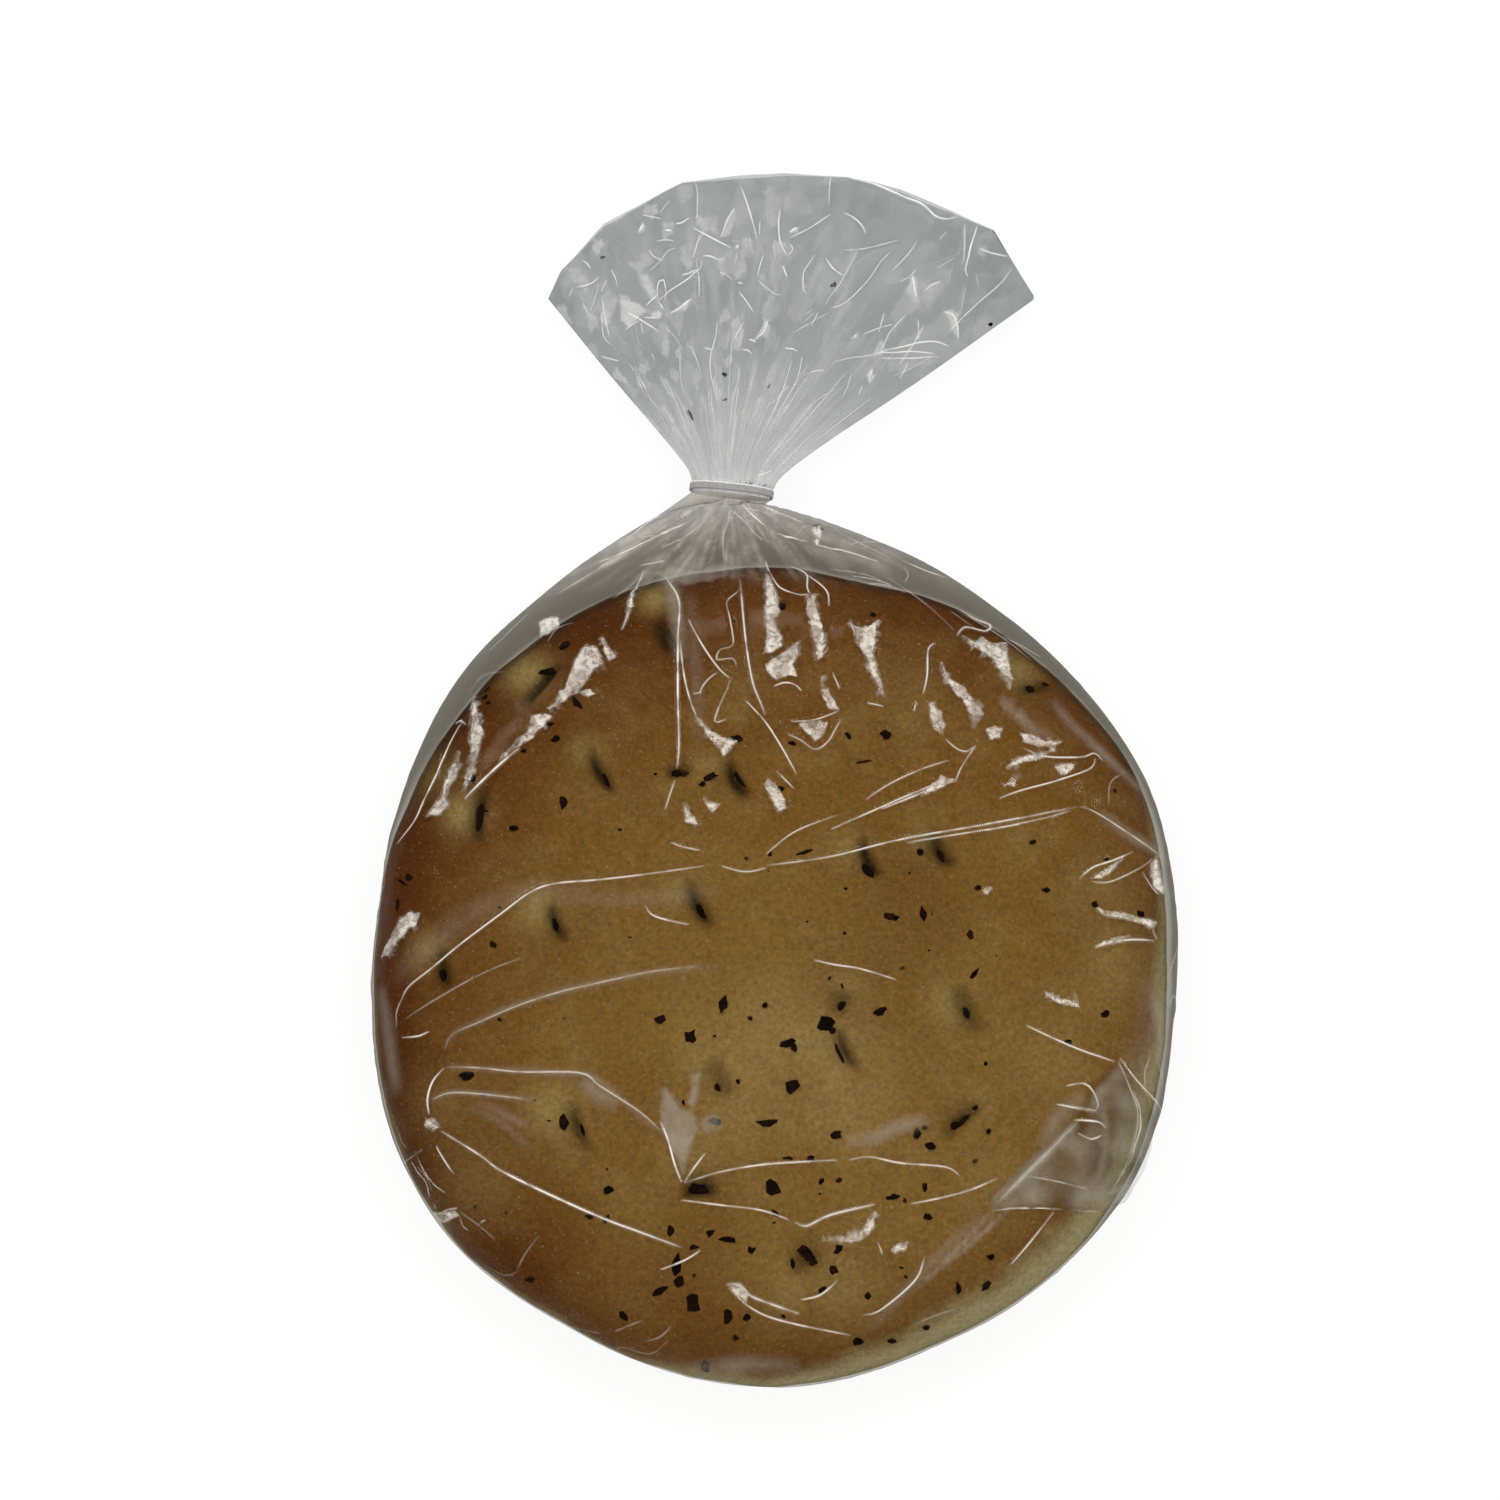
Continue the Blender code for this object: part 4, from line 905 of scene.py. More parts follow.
class Crease:
    """One crease of a sheet: a ridge along a line on the unrolled sheet."""

    def __init__(self, points, height, width, pale=0.3):
        self.line = smooth_line(points)
        self.height = height
        self.width = width
        self.pale = pale
        steps = np.linalg.norm(np.diff(self.line, axis=0), axis=1)
        self.run = np.concatenate(([0.0], np.cumsum(steps)))
        self.length = self.run[-1]

    def nearest(self, flat):
        """The unrolled points close to the crease, how strong it is there and how far off they are."""
        close = close_to(flat, self.line, self.width)
        gap, share, size = gaps_to(flat[close], self.line[:-1], np.diff(self.line, axis=0))
        nearest = gap.argmin(1)
        rows = np.arange(len(close))
        along = (self.run[nearest] + share[rows, nearest] * np.sqrt(size[nearest])) / self.length
        taper = np.clip(4.0 * along * (1.0 - along), 0.0, 1.0) ** 0.5
        return close, taper, gap[rows, nearest]

    def raise_film(self, flat, lift, painted_highlight):
        """Raise a sheet along the crease and paint a highlight along its ridge, where that is more than so
        far.
        """
        close, taper, gap = self.nearest(flat)
        flank = np.clip(1.0 - gap / self.width, 0.0, 1.0) ** 2
        line = np.clip(1.0 - gap / (CREST_LEAST + CREST_SPREAD * self.height), 0.0, 1.0)
        lift[close] = np.maximum(lift[close], CREASE_LIFT * self.height * taper * flank)
        painted_highlight[close] = np.maximum(painted_highlight[close], self.pale * taper * line)

    def veil(self, flat, milk_and_painted_sheen):
        """Cloud a sheet along the line, fading sideways."""
        close, taper, gap = self.nearest(flat)
        soft = np.clip(1.0 - gap / self.width, 0.0, 1.0)
        milk_and_painted_sheen[close] = np.maximum(milk_and_painted_sheen[close], self.pale * taper * soft)

    def rows(self):
        """Points along the ridge and beside it."""
        count = max(int(self.length / CREASE_SPACING), 2)
        places = np.linspace(0.0, self.length, count + 1)
        middle = np.stack([np.interp(places, self.run, part) for part in self.line.T], axis=1)
        along = unit(np.gradient(middle, axis=0))
        side = np.stack((-along[:, 1], along[:, 0]), axis=1)
        return np.concatenate([middle + side * offset for offset in ROW_OFFSETS])


def creases_at(table, locate):
    """The creases of a table that names them by pixels of the picture."""
    return [Crease([locate(px, py) for px, py in pixels], height, width, pale)
            for height, width, pale, *pixels in table]


def random_crease(draw, x, y, turn, length, height, palest, bends=0.12):
    """A slightly bent crease about a place."""
    bend = draw.gauss(0.0, bends) * length
    along = (math.cos(turn) * length / 2, math.sin(turn) * length / 2)
    side = (-math.sin(turn) * bend, math.cos(turn) * bend)
    points = ((x - along[0], y - along[1]), (x + side[0], y + side[1]), (x + along[0], y + along[1]))
    return Crease(points, height, draw.uniform(1.3, 2.4), draw.uniform(0.08, palest))


def body_creases(sheet):
    """Creases over the loaf: those seen in the picture, small ones at the rim, and some at the shoulders."""
    creases = creases_at(CREASES, partial(on_sheet, sheet))
    draw = random.Random(11)
    for _ in range(RIM_CREASES):
        angle = draw.uniform(-math.pi, math.pi)
        distance = float(sheet.reach(angle)) * draw.uniform(0.84, 0.985)
        turn = angle + math.pi / 2 + draw.gauss(0.0, 0.75)
        length = draw.uniform(5.0, 16.0)
        creases.append(random_crease(draw, distance * math.cos(angle), distance * math.sin(angle),
                                     turn, length, draw.uniform(0.3, 0.8), 0.30))
    neck_x, neck_y = sheet.unroll(NECK_CENTRE[0], NECK_CENTRE[1] - 6)
    for _ in range(SHOULDER_CREASES):
        angle = math.radians(draw.gauss(97.0, 24.0))
        distance = float(sheet.reach(angle)) * draw.uniform(0.84, 0.98)
        x = distance * math.cos(angle)
        y = distance * math.sin(angle)
        turn = math.atan2(neck_y - y, neck_x - x) + draw.gauss(0.0, 0.22)
        length = draw.uniform(10.0, 30.0)
        creases.append(random_crease(draw, x, y, turn, length, draw.uniform(0.3, 0.8), 0.45))
    return creases


def fan_creases(side, seed):
    """Crinkles of one of the fan's sheets: those seen in the picture on the upper one, and faint ones."""
    draw = random.Random(seed)
    creases = creases_at(FAN_CREASES, FAN_MAP.find) if side > 0 else []
    for _ in range(FAN_RAYS):
        x = draw.uniform(-0.96, 0.96) * FAN_HALF
        start = draw.uniform(1.0, 24.0)
        end = start + draw.uniform(8.0, 32.0)
        lean = draw.gauss(0.0, 3.0)
        points = ((x, start), (x + lean * 0.3, (start + end) / 2), (x + lean, end))
        height, width, pale = draw.uniform(0.25, 0.5), draw.uniform(1.2, 1.8), draw.uniform(0.3, 0.95)
        creases.append(Crease(points, height, width, pale))
    for _ in range(FAN_CRINKLES):
        x = draw.uniform(-0.95, 0.95) * FAN_HALF
        y = FAN_LENGTH * draw.uniform(0.2, 0.97)
        turn = draw.gauss(math.pi / 2, 0.9)
        length = draw.uniform(4.0, 24.0) * draw.uniform(0.3, 1.0)
        creases.append(random_crease(draw, x, y, turn, length, draw.uniform(0.15, 0.45), 0.85, 0.04))
    return creases


def crease_rows(creases):
    return [crease.rows() for crease in creases]


def raised(flat, creases, painted_highlight):
    """How high the creases lift a sheet; they also paint highlights along their ridges."""
    lift = np.zeros(len(flat))
    for crease in creases:
        crease.raise_film(flat, lift, painted_highlight)
    return lift


# ---------------------------------------------------------------- points, triangles and meshes

def scattered(low, high, spacing, seed):
    """A jittered grid of points over a rectangle."""
    draw = np.random.default_rng(seed)
    columns = int((high[0] - low[0]) / spacing) + 1
    rows = int((high[1] - low[1]) / (spacing * 0.87)) + 1
    x, y = np.meshgrid(np.arange(columns, dtype=float), np.arange(rows, dtype=float))
    x += 0.5 * (y % 2)
    jitter = draw.uniform(-0.28, 0.28, (2,) + x.shape)
    x = low[0] + (x + jitter[0]) * spacing
    y = low[1] + (y + jitter[1]) * spacing * 0.87
    return np.stack((x.ravel(), y.ravel()), axis=1)


def drop_near(points, keep_clear, gap):
    """The points that don't lie within about a gap of the others."""
    cells = set(map(tuple, np.floor(keep_clear / gap).astype(int)))
    near = np.floor(points / gap).astype(int)
    return points[[tuple(cell) not in cells for cell in near]]


def triangulate(points, longest):
    """Delaunay triangles of flat points, without long ones outside."""
    result = delaunay_2d_cdt([Vector(point) for point in points], [], [], 0, 1e-5)
    flat = np.array([tuple(vert) for vert in result[0]])
    faces = np.array([tuple(face) for face in result[2] if len(face) == 3])
    corners = flat[faces]
    edges = np.linalg.norm(corners - np.roll(corners, 1, axis=1), axis=2)
    return flat, faces[edges.max(1) < longest]


def edge_distance(flat, outline):
    """Distance of flat points from a closed outline, positive inside it."""
    step = np.roll(outline, -1, axis=0) - outline
    gap = gaps_to(flat, outline, step)[0].min(1)
    x, y = flat[:, None, 0], flat[:, None, 1]
    start_x, start_y = outline[None, :, 0], outline[None, :, 1]
    crosses = (start_y > y) != (start_y + step[None, :, 1] > y)
    rise = np.where(step[:, 1] == 0, 1e-9, step[:, 1])[None]
    meet = start_x + (y - start_y) / rise * step[None, :, 0]
    inside = np.count_nonzero(crosses & (x < meet), axis=1) % 2 == 1
    return np.where(inside, gap, -gap)


def outline_rows(outline, offsets=(0.0, 0.5)):
    """Points along a closed outline and just outside it."""
    closed = np.concatenate((outline, outline[:1]))
    line = np.concatenate([mix(start, end, np.linspace(0, 1, 6)[:-1, None])
                           for start, end in zip(closed, closed[1:])])
    away = unit(line - outline.mean(0))
    return np.concatenate([line + away * offset for offset in offsets])


def fill_points(outline, spacing):
    """Scattered points inside a closed outline."""
    points = scattered(outline.min(0), outline.max(0), spacing, 6)
    return points[edge_distance(points, outline) > 0.3 * spacing]


def ring_points(sheet):
    """Evenly spaced unrolled points along a sheet's edge."""
    angles = np.linspace(-math.pi, math.pi, EDGE_POINTS, endpoint=False)
    return around(sheet.reach(angles), angles)


def sheet_points(sheet, spacing, rows, seed):
    """Triangulated points of a whole unrolled sheet, closer together along the given rows."""
    span = float(sheet.length.max()) + 1.0
    rim = ring_points(sheet)
    rows = np.concatenate(rows) if rows else np.empty((0, 2))
    base = scattered((-span, -span), (span, span), spacing, seed)
    points = np.concatenate((drop_near(base, np.concatenate((rows, rim)), 0.7 * spacing), rows))
    distance, angle = polar(points)
    points = points[distance < sheet.reach(angle) - 0.35]
    flat, faces = triangulate(np.concatenate((points, rim)), 9.0)
    distance, angle = polar(flat[faces].mean(1))
    return flat, faces[distance < sheet.reach(angle) + 0.05]


def add_object(name, data):
    item = bpy.data.objects.new(name, data)
    bpy.context.scene.collection.objects.link(item)
    return item


def new_mesh(name, points, faces, material, attributes=None, smooth=True):
    """A mesh object from points in millimetres."""
    mesh = bpy.data.meshes.new(name)
    mesh.from_pydata((np.asarray(points) * MM).tolist(), [], [tuple(face) for face in faces])
    for key, values in (attributes or {}).items():
        layer = mesh.attributes.new(key, "FLOAT", "POINT")
        layer.data.foreach_set("value", np.asarray(values, np.float32))
    mesh.materials.append(material)
    if smooth:
        mesh.shade_smooth()
    mesh.update()
    return add_object(name, mesh)


# ---------------------------------------------------------------- looks of the film

def crumple(flat, mask, seed):
    """Folded, faceted unevenness of a sheet: ridges along the zero lines of smooth noise."""
    warp = np.stack((noise_at(flat, 26.0, seed + 1), noise_at(flat, 26.0, seed + 2)), axis=1)
    bent = flat + 7.0 * warp
    broad = 1.3 * (0.5 - np.abs(noise_at(bent, 30.0, seed + 3)))
    fine = 0.5 * (0.4 - np.abs(noise_at(bent, 11.0, seed + 4)))
    return (broad + fine) * mask


def glint_normal(place, normal):
    """The direction that a facet must face to mirror one of the softboxes into the camera."""
    place = Vector(place)
    to_camera = (CAMERA_PLACE - place).normalized()
    halves = []
    for compass, elevation, *_ in KEY_BOXES:
        light = SOFTBOX_CENTRE + softbox_direction(compass, elevation) * SOFTBOX_DISTANCE
        halves.append(((light - place).normalized() + to_camera).normalized())
    return np.array(max(halves, key=Vector(normal).dot))


def press_glints(glints, flat, placed, normal, offset, shine, painted_highlight):
    """Turn the film inside each outline into a bright, slightly uneven facet that mirrors a softbox, helped
    by painted highlight.
    """
    for outline in glints:
        near = close_to(flat, outline, GLINT_EDGE + 0.5)
        inside = edge_distance(flat[near], outline) + 0.3 * noise_at(flat[near], 2.0, 9)
        if not (inside > 0).any():
            continue
        middle = near[np.argmin(np.linalg.norm(flat[near] - outline.mean(0), axis=1))]
        facing = glint_normal(placed[middle], normal[middle])
        off = placed[near] - placed[middle]
        facet = -(off @ facing) / np.maximum(normal[near] @ facing, 0.3)
        facet = np.clip(facet + max(0.0, -0.5 - facet[inside > 0].min()) + 0.1, -0.6, 2.2)
        facet += GLINT_RELIEF * noise_at(flat[near], 1.7, 12)
        weight = smoothstep(-GLINT_EDGE, 0.0, inside)
        offset[near] = mix(offset[near], facet, weight)
        shine[near] = np.maximum(shine[near], smoothstep(-0.5, 0.1, inside))
        painted_highlight[near] = np.maximum(painted_highlight[near], GLINT_PAINTED_HIGHLIGHT * smoothstep(-0.3, 0.15, inside))


def painted_shade_beyond_loaf(placed):
    """Painted shade on the film where it hangs beyond the loaf's edge, darkest close to the loaf."""
    distance, angle = polar(placed)
    beyond = distance - loaf_radius(angle)
    far = smoothstep(*FAR_SIDE, placed[:, 1])
    full = mix(2.0, 0.6, smoothstep(*NEAR_SIDE, placed[:, 1]))
    outside = mix(smoothstep(-1.6, full, beyond), smoothstep(-4.0, -1.5, beyond), far)
    return outside * mix(1.0, 0.5, smoothstep(0.0, 28.0, beyond))


def cloud(flat, streaks, areas, locate, milk_and_painted_sheen):
    """Cloud the film along soft streaks and over areas that are given by pixels of the picture; some areas
    are painted highlights.
    """
    for width, amount, *pixels in streaks:
        Crease([locate(px, py) for px, py in pixels], 0.0, width, amount).veil(flat, milk_and_painted_sheen)
    for fade, amount, *pixels in areas:
        outline = np.array([locate(px, py) for px, py in pixels])
        near = close_to(flat, outline, fade)
        depth = edge_distance(flat[near], outline) + 0.3 * fade * noise_at(flat[near], 4.0, 14)
        milk_and_painted_sheen[near] = np.maximum(milk_and_painted_sheen[near], amount * smoothstep(-fade / 2, fade / 2, depth))


def neck_rays(placed):
    """Soft streaks that run together at the neck, from 0 to 1."""
    away = placed[:, :2] - NECK_CENTRE[:2]
    turn = np.arctan2(away[:, 0], -away[:, 1])
    streaks = np.stack((9.0 * turn, 0.03 * np.hypot(away[:, 0], away[:, 1])), axis=1)
    unevenness = 0.5 * noise_at(streaks, 1.0, 15) + 0.5 * noise_at(2.7 * streaks, 1.0, 17)
    return np.clip(0.28 + unevenness, 0.0, 1.0)


def fray(flat, painted_highlight, least=0.45):
    """Break the painted highlights up unevenly."""
    return painted_highlight * mix(least, 1.0, smoothstep(-0.7, 0.15, noise_at(flat, 4.5, 13)))


def facets(flat, size, bright_share, seed):
    """Angular patches of crumpled film, each with its own painted sheen from 0 to 1."""
    bent = flat * (1.0, 0.7)
    bent = bent + 0.35 * size * np.stack((noise_at(bent, size, seed + 8), noise_at(bent, size, seed + 9)), 1)
    middles = scattered(bent.min(0), bent.max(0), size, seed)
    painted_whiteness = smoothstep(1.0 - bright_share, 1.0, np.random.default_rng(seed).uniform(0, 1, len(middles)))
    tree = KDTree(len(middles))
    for index, (x, y) in enumerate(middles):
        tree.insert((x, y, 0.0), index)
    tree.balance()
    return painted_whiteness[[tree.find((x, y, 0.0))[1] for x, y in bent]]


# ---------------------------------------------------------------- pieces of film

def upper_film(sheet):
    """The film above the loaf: points, faces and shades."""
    locate = partial(on_sheet, sheet)
    creases = body_creases(sheet)
    glints = [np.array([locate(px, py) for px, py in pixels]) for pixels in GLINTS]
    rows = crease_rows(creases) + [outline_rows(outline) for outline in glints]
    rows += [fill_points(outline, GLINT_SPACING) for outline in glints]
    flat, faces = sheet_points(sheet, BODY_SPACING, rows, 3)
    distance, angle = polar(flat)
    share = distance / sheet.reach(angle)

    def surface(spots):
        return rest_on_loaf(gather(sheet.place(spots), 1))

    placed = surface(flat)
    normal = normals_of(surface, flat)
    towards_neck = smoothstep(*SHOULDER, placed[:, 1])
    rim_mask = smoothstep(*RIM_SETS_IN, share) * (1.0 - smoothstep(*RIM_ENDS, share))
    offset = crumple(flat, CRUMPLE_MIDDLE + CRUMPLE_RIM * rim_mask * (1.0 - 0.4 * towards_neck), 3)
    shine = 0.2 * rim_mask * smoothstep(0.45, 0.6, noise_at(flat, 4.0, 16))
    painted_highlight = np.zeros(len(flat))
    press_glints(glints, flat, placed, normal, offset, shine, painted_highlight)
    # Painted sheen in soft streaks on the shoulder, running to the neck.
    painted_whiteness = SHOULDER_PAINTED_SHEEN * mix(1.3, 0.7, smoothstep(-50.0, 30.0, placed[:, 0]))
    painted_whiteness *= smoothstep(*WHITE_SHOULDER, placed[:, 1])
    painted_highlight = np.maximum(painted_highlight, painted_whiteness * neck_rays(placed))
    offset = np.maximum(offset, raised(flat, creases, painted_highlight))
    offset = np.maximum(offset, -np.where(towards_neck > 0.5, 3.0, FILM_GAP - FILM_LEAST_GAP))
    offset *= 1.0 - smoothstep(*EDGE_FADE, share)
    milk_and_painted_sheen = np.zeros(len(flat))
    cloud(flat, CLOUDY_STREAKS, CLOUDY_AREAS_AND_GLINT, locate, milk_and_painted_sheen)
    shades = {"milk_and_painted_sheen": milk_and_painted_sheen, "painted_highlight": fray(flat, painted_highlight), "tint_and_painted_shade": painted_shade_beyond_loaf(placed), "shine": shine}
    return placed + normal * offset[:, None], faces, shades


def under_film(sheet):
    """The film below the loaf."""
    flat, faces = sheet_points(sheet, UNDER_SPACING, [], 4)
    placed = gather(sheet.place(flat), -1)
    distance, angle = polar(flat)
    placed[:, 2] += 0.5 * noise_at(flat, 16.0, 4) * (1.0 - (distance / sheet.reach(angle)) ** 8)
    placed[:, 2] = np.maximum(placed[:, 2], FLOOR_GAP)
    return placed, faces[:, ::-1], {"tint_and_painted_shade": painted_shade_beyond_loaf(placed)}


def throat_film(side):
    """The short stretch where a body sheet runs into the neck, up to the tie."""
    shares = np.linspace(-1.0, 1.0, THROAT_COLUMNS)
    angles = np.radians(mix(NECK_LAST, NECK_FIRST, (shares + 1) / 2))
    start = gather(around(bag_radius(angles), angles, np.full(len(angles), MIDDLE_HEIGHT)), side)
    end = fan_place(np.stack((shares * FAN_HALF, np.full(len(shares), -2 * NECK_HALF_LENGTH)), 1), side)
    points = np.concatenate([mix(start, end, step / THROAT_ROWS) for step in range(THROAT_ROWS + 1)])
    faces = []
    for row in range(THROAT_ROWS):
        for column in range(THROAT_COLUMNS - 1):
            corner = row * THROAT_COLUMNS + column
            above = corner + THROAT_COLUMNS
            faces += [(corner, corner + 1, above + 1), (corner, above + 1, above)]
    closeness = np.repeat(np.linspace(0.0, 1.0, THROAT_ROWS + 1), THROAT_COLUMNS)
    # Painted highlight grows towards the tie.
    shades = {"milk_and_painted_sheen": np.full(len(points), THROAT_MILK), "painted_highlight": THROAT_PAINTED_HIGHLIGHT * closeness,
              "tint_and_painted_shade": mix(0.4, 0.3, closeness)}
    return points, np.array(faces), shades


def fan_film(side, seed):
    """One of the fan's two sheets, from under the tie to the mouth."""
    creases = fan_creases(side, seed)
    low = np.array((-FAN_HALF, -2 * NECK_HALF_LENGTH))
    high = np.array((FAN_HALF, FAN_LENGTH))
    steps = np.arange(low[1], high[1], 1.0)
    across = np.arange(-FAN_HALF, FAN_HALF, 1.0)
    edges = [np.stack((np.full(len(steps), x), steps), 1) for x in (-FAN_HALF, FAN_HALF)]
    edges += [np.stack((across, np.full(len(across), y)), 1) for y in (low[1], high[1])]
    fixed = np.concatenate(edges + crease_rows(creases))
    base = scattered(low, high, FAN_SPACING, seed)
    points = np.concatenate((drop_near(base, fixed, 0.7 * FAN_SPACING), fixed))
    inside = np.all((points >= low - 0.01) & (points <= high + 0.01), axis=1)
    flat, faces = triangulate(points[inside], 12.0)
    run = np.clip(flat[:, 1] / FAN_LENGTH, 0.0, 1.0)

    painted_highlight = np.zeros(len(flat))
    lift = raised(flat, creases, painted_highlight)
    edge = 1.0 - np.abs(flat[:, 0] / FAN_HALF) ** 8
    placed = fan_place(flat, side)
    placed[:, 2] += crumple(flat, CRUMPLE_FAN * smoothstep(0.05, 0.5, run) * edge, seed)
    placed[:, 2] += lift * edge * smoothstep(0.0, 0.1, run) * side
    placed[:, 2] = np.maximum(placed[:, 2], FLOOR_GAP + (0.4 if side > 0 else 0.0))

    rays = noise_at(flat * (1.0, 0.08), 8.0, seed + 6)
    calm = smoothstep(-30.0, 30.0, flat[:, 0])
    # Painted sheen: brighter facets of crumpled film, put into the milk.
    small = facets(flat, SMALL_FACET, 0.30, seed) * mix(1.0, 0.25, calm)
    large = facets(flat, LARGE_FACET, 0.50, seed + 1) * mix(0.7, 1.0, calm)
    milk_and_painted_sheen = 0.10 + 0.08 * noise_at(flat, 24.0, seed + 5)
    milk_and_painted_sheen += (0.27 + 0.30 * rays) * (1.0 - smoothstep(0.0, 0.55, run))
    milk_and_painted_sheen += (SMALL_FACET_PAINTED_SHEEN * small + LARGE_FACET_PAINTED_SHEEN * large) * smoothstep(0.08, 0.3, run)
    if side > 0:
        cloud(flat, (), FAN_PAINTED_HIGHLIGHTS, FAN_MAP.find, milk_and_painted_sheen)
    # A band of painted highlight at the neck.
    painted_highlight = np.maximum(painted_highlight, NECK_PAINTED_HIGHLIGHT * (1.0 - smoothstep(-1.0, 1.0, flat[:, 1])))
    tint_and_painted_shade = FAN_SMOKE * (mix(0.45, 1.0, smoothstep(0.0, 0.5, run)) + 0.15 * smoothstep(0.75, 1.0, run))
    shades = {"milk_and_painted_sheen": milk_and_painted_sheen, "painted_highlight": fray(flat, painted_highlight, 0.75), "tint_and_painted_shade": tint_and_painted_shade}
    return placed, faces if side > 0 else faces[:, ::-1], shades


def flap_film(sheet):
    """The loose flap of film folded back over the loaf's near right edge."""
    locate = partial(on_sheet, sheet)
    outline = np.array([locate(px, py) for px, py in FLAP_OUTLINE])
    creases = creases_at(FLAP_CREASES, locate)
    rows = np.concatenate(crease_rows(creases))
    rows = rows[edge_distance(rows, outline) > 0.3]
    rim = outline_rows(outline, (0.0,))
    base = fill_points(outline, BODY_SPACING)
    points = np.concatenate((drop_near(base, np.concatenate((rows, rim)), 0.8), rows, rim))
    flat, faces = triangulate(points, 9.0)
    faces = faces[edge_distance(flat[faces].mean(1), outline) > 0.0]
    painted_highlight = np.zeros(len(flat))
    offset = FLAP_LIFT + raised(flat, creases, painted_highlight)
    offset = offset + 0.6 * noise_at(flat, 12.0, 6) + 0.25 * noise_at(flat, 4.0, 8)
    wisps = np.clip(0.36 + 0.35 * noise_at(flat, 7.0, 7), 0.0, 0.9)
    milk_and_painted_sheen = wisps * smoothstep(-0.5, 2.0, edge_distance(flat, outline))
    cloud(flat, CLOUDY_STREAKS, (), locate, milk_and_painted_sheen)
    shades = {"milk_and_painted_sheen": milk_and_painted_sheen, "painted_highlight": fray(flat, painted_highlight)}
    return sheet.place(flat) + normals_of(sheet.place, flat) * offset[:, None], faces, shades


def join_parts(parts):
    """Several sets of points, faces and shades as one."""
    starts = np.cumsum([0] + [len(part[0]) for part in parts])
    points = np.concatenate([part[0] for part in parts])
    faces = np.concatenate([part[1] + start for part, start in zip(parts, starts)])
    shades = {}
    for key in ("milk_and_painted_sheen", "painted_highlight", "tint_and_painted_shade", "shine"):
        values = [part[2].get(key, np.zeros(len(part[0]))) for part in parts]
        shades[key] = np.clip(np.concatenate(values), 0.0, 1.0)
    return points, faces, shades


def make_film(body_look, fan_look):
    """The three pieces of film."""
    top = Sheet(bag_radius, RIM_START, MIDDLE_HEIGHT, FILM_TOP, DOME_DROP)
    bottom = Sheet(bag_radius, BASE_RADIUS, MIDDLE_HEIGHT, 0.0, 0.0)
    pieces = []
    for name, parts, look in (
            ("film_top", (upper_film(top), throat_film(1), flap_film(top)), body_look),
            ("film_underside", (under_film(bottom), throat_film(-1)), body_look),
            ("film_fan", (fan_film(1, 21), fan_film(-1, 22)), fan_look)):
        points, faces, shades = join_parts(parts)
        pieces.append(new_mesh(name, points, faces, look, shades))
    return pieces


# ---------------------------------------------------------------- the loaf

def placed_dimples():
    """The dimples with their slits and pale spots in millimetres."""
    placed = []
    for px, py, turn, length, width, dark, pale_px, pale_py, radius, pale in DIMPLES:
        placed.append((on_loaf(px, py), math.radians(turn), length, width, dark,
                       on_loaf(pale_px, pale_py), radius, pale))
    return placed


PLACED_DIMPLES = placed_dimples()


def dimple_fields(x, y):
    """Depth of the dimples, their pale halo and the painted shade in their dark slits, at places on the
    crust.
    """
    depth, halo, slit_shade = np.zeros((3, len(x)))
    for (slit_x, slit_y), turn, length, width, dark, (pale_x, pale_y), radius, pale in PLACED_DIMPLES:
        off_x = x - slit_x
        off_y = y - slit_y
        along = (off_x * math.cos(turn) + off_y * math.sin(turn)) / (length / 2)
        across = (off_x * math.sin(turn) - off_y * math.cos(turn)) / (width / 2)
        across = across - 0.35 * along * along
        gentle = np.where(across < 0, across / 2.6, across / 0.9)
        depth += DIMPLE_DEPTH * np.exp(-(along * along * 0.9 + gentle * gentle))
        sharp = np.where(across < 0, across / 1.15, across / 0.5)
        steep = np.exp(-np.abs(along / 1.05) ** 4.0 - np.abs(sharp) ** 2.4)
        depth += SLIT_DEPTH * steep * dark
        slit_shade = np.maximum(slit_shade, dark * steep)
        spot = ((x - pale_x) ** 2 + (y - pale_y) ** 2) / radius ** 2
        halo = np.maximum(halo, pale * np.exp(-spot * 1.2))
    return depth, halo, slit_shade


def crust_spots(x, y):
    """How much browner the crust is than elsewhere, and how much paler."""
    warmth = np.zeros(len(x))
    for px, py, radius, amount in CRUST_SPOTS:
        spot_x, spot_y = on_loaf(px, py)
        warmth += amount * np.exp(-((x - spot_x) ** 2 + (y - spot_y) ** 2) / (radius * PIXEL) ** 2)
    return np.maximum(warmth, 0.0), np.maximum(-warmth, 0.0)


def disc_grid(cells):
    """A square grid of points pressed into a unit disc, its quads and its edge in order."""
    side = np.linspace(-1.0, 1.0, cells + 1)
    a, b = np.meshgrid(side, side)
    swap = np.abs(a) >= np.abs(b)
    with np.errstate(divide="ignore", invalid="ignore"):
        turn = np.where(swap, math.pi / 4 * b / a, math.pi / 2 - math.pi / 4 * a / b)
    radius = np.where(swap, a, b)
    turn = np.where(radius == 0, 0.0, turn)
    disc = np.stack((radius * np.cos(turn), radius * np.sin(turn)), axis=-1).reshape(-1, 2)
    index = np.arange((cells + 1) ** 2).reshape(cells + 1, cells + 1)
    quads = np.stack((index[:-1, :-1], index[:-1, 1:], index[1:, 1:], index[1:, :-1]), axis=-1)
    edge = np.concatenate((index[0, :-1], index[:-1, -1], index[-1, :0:-1], index[:0:-1, 0]))
    return disc, quads.reshape(-1, 4), edge


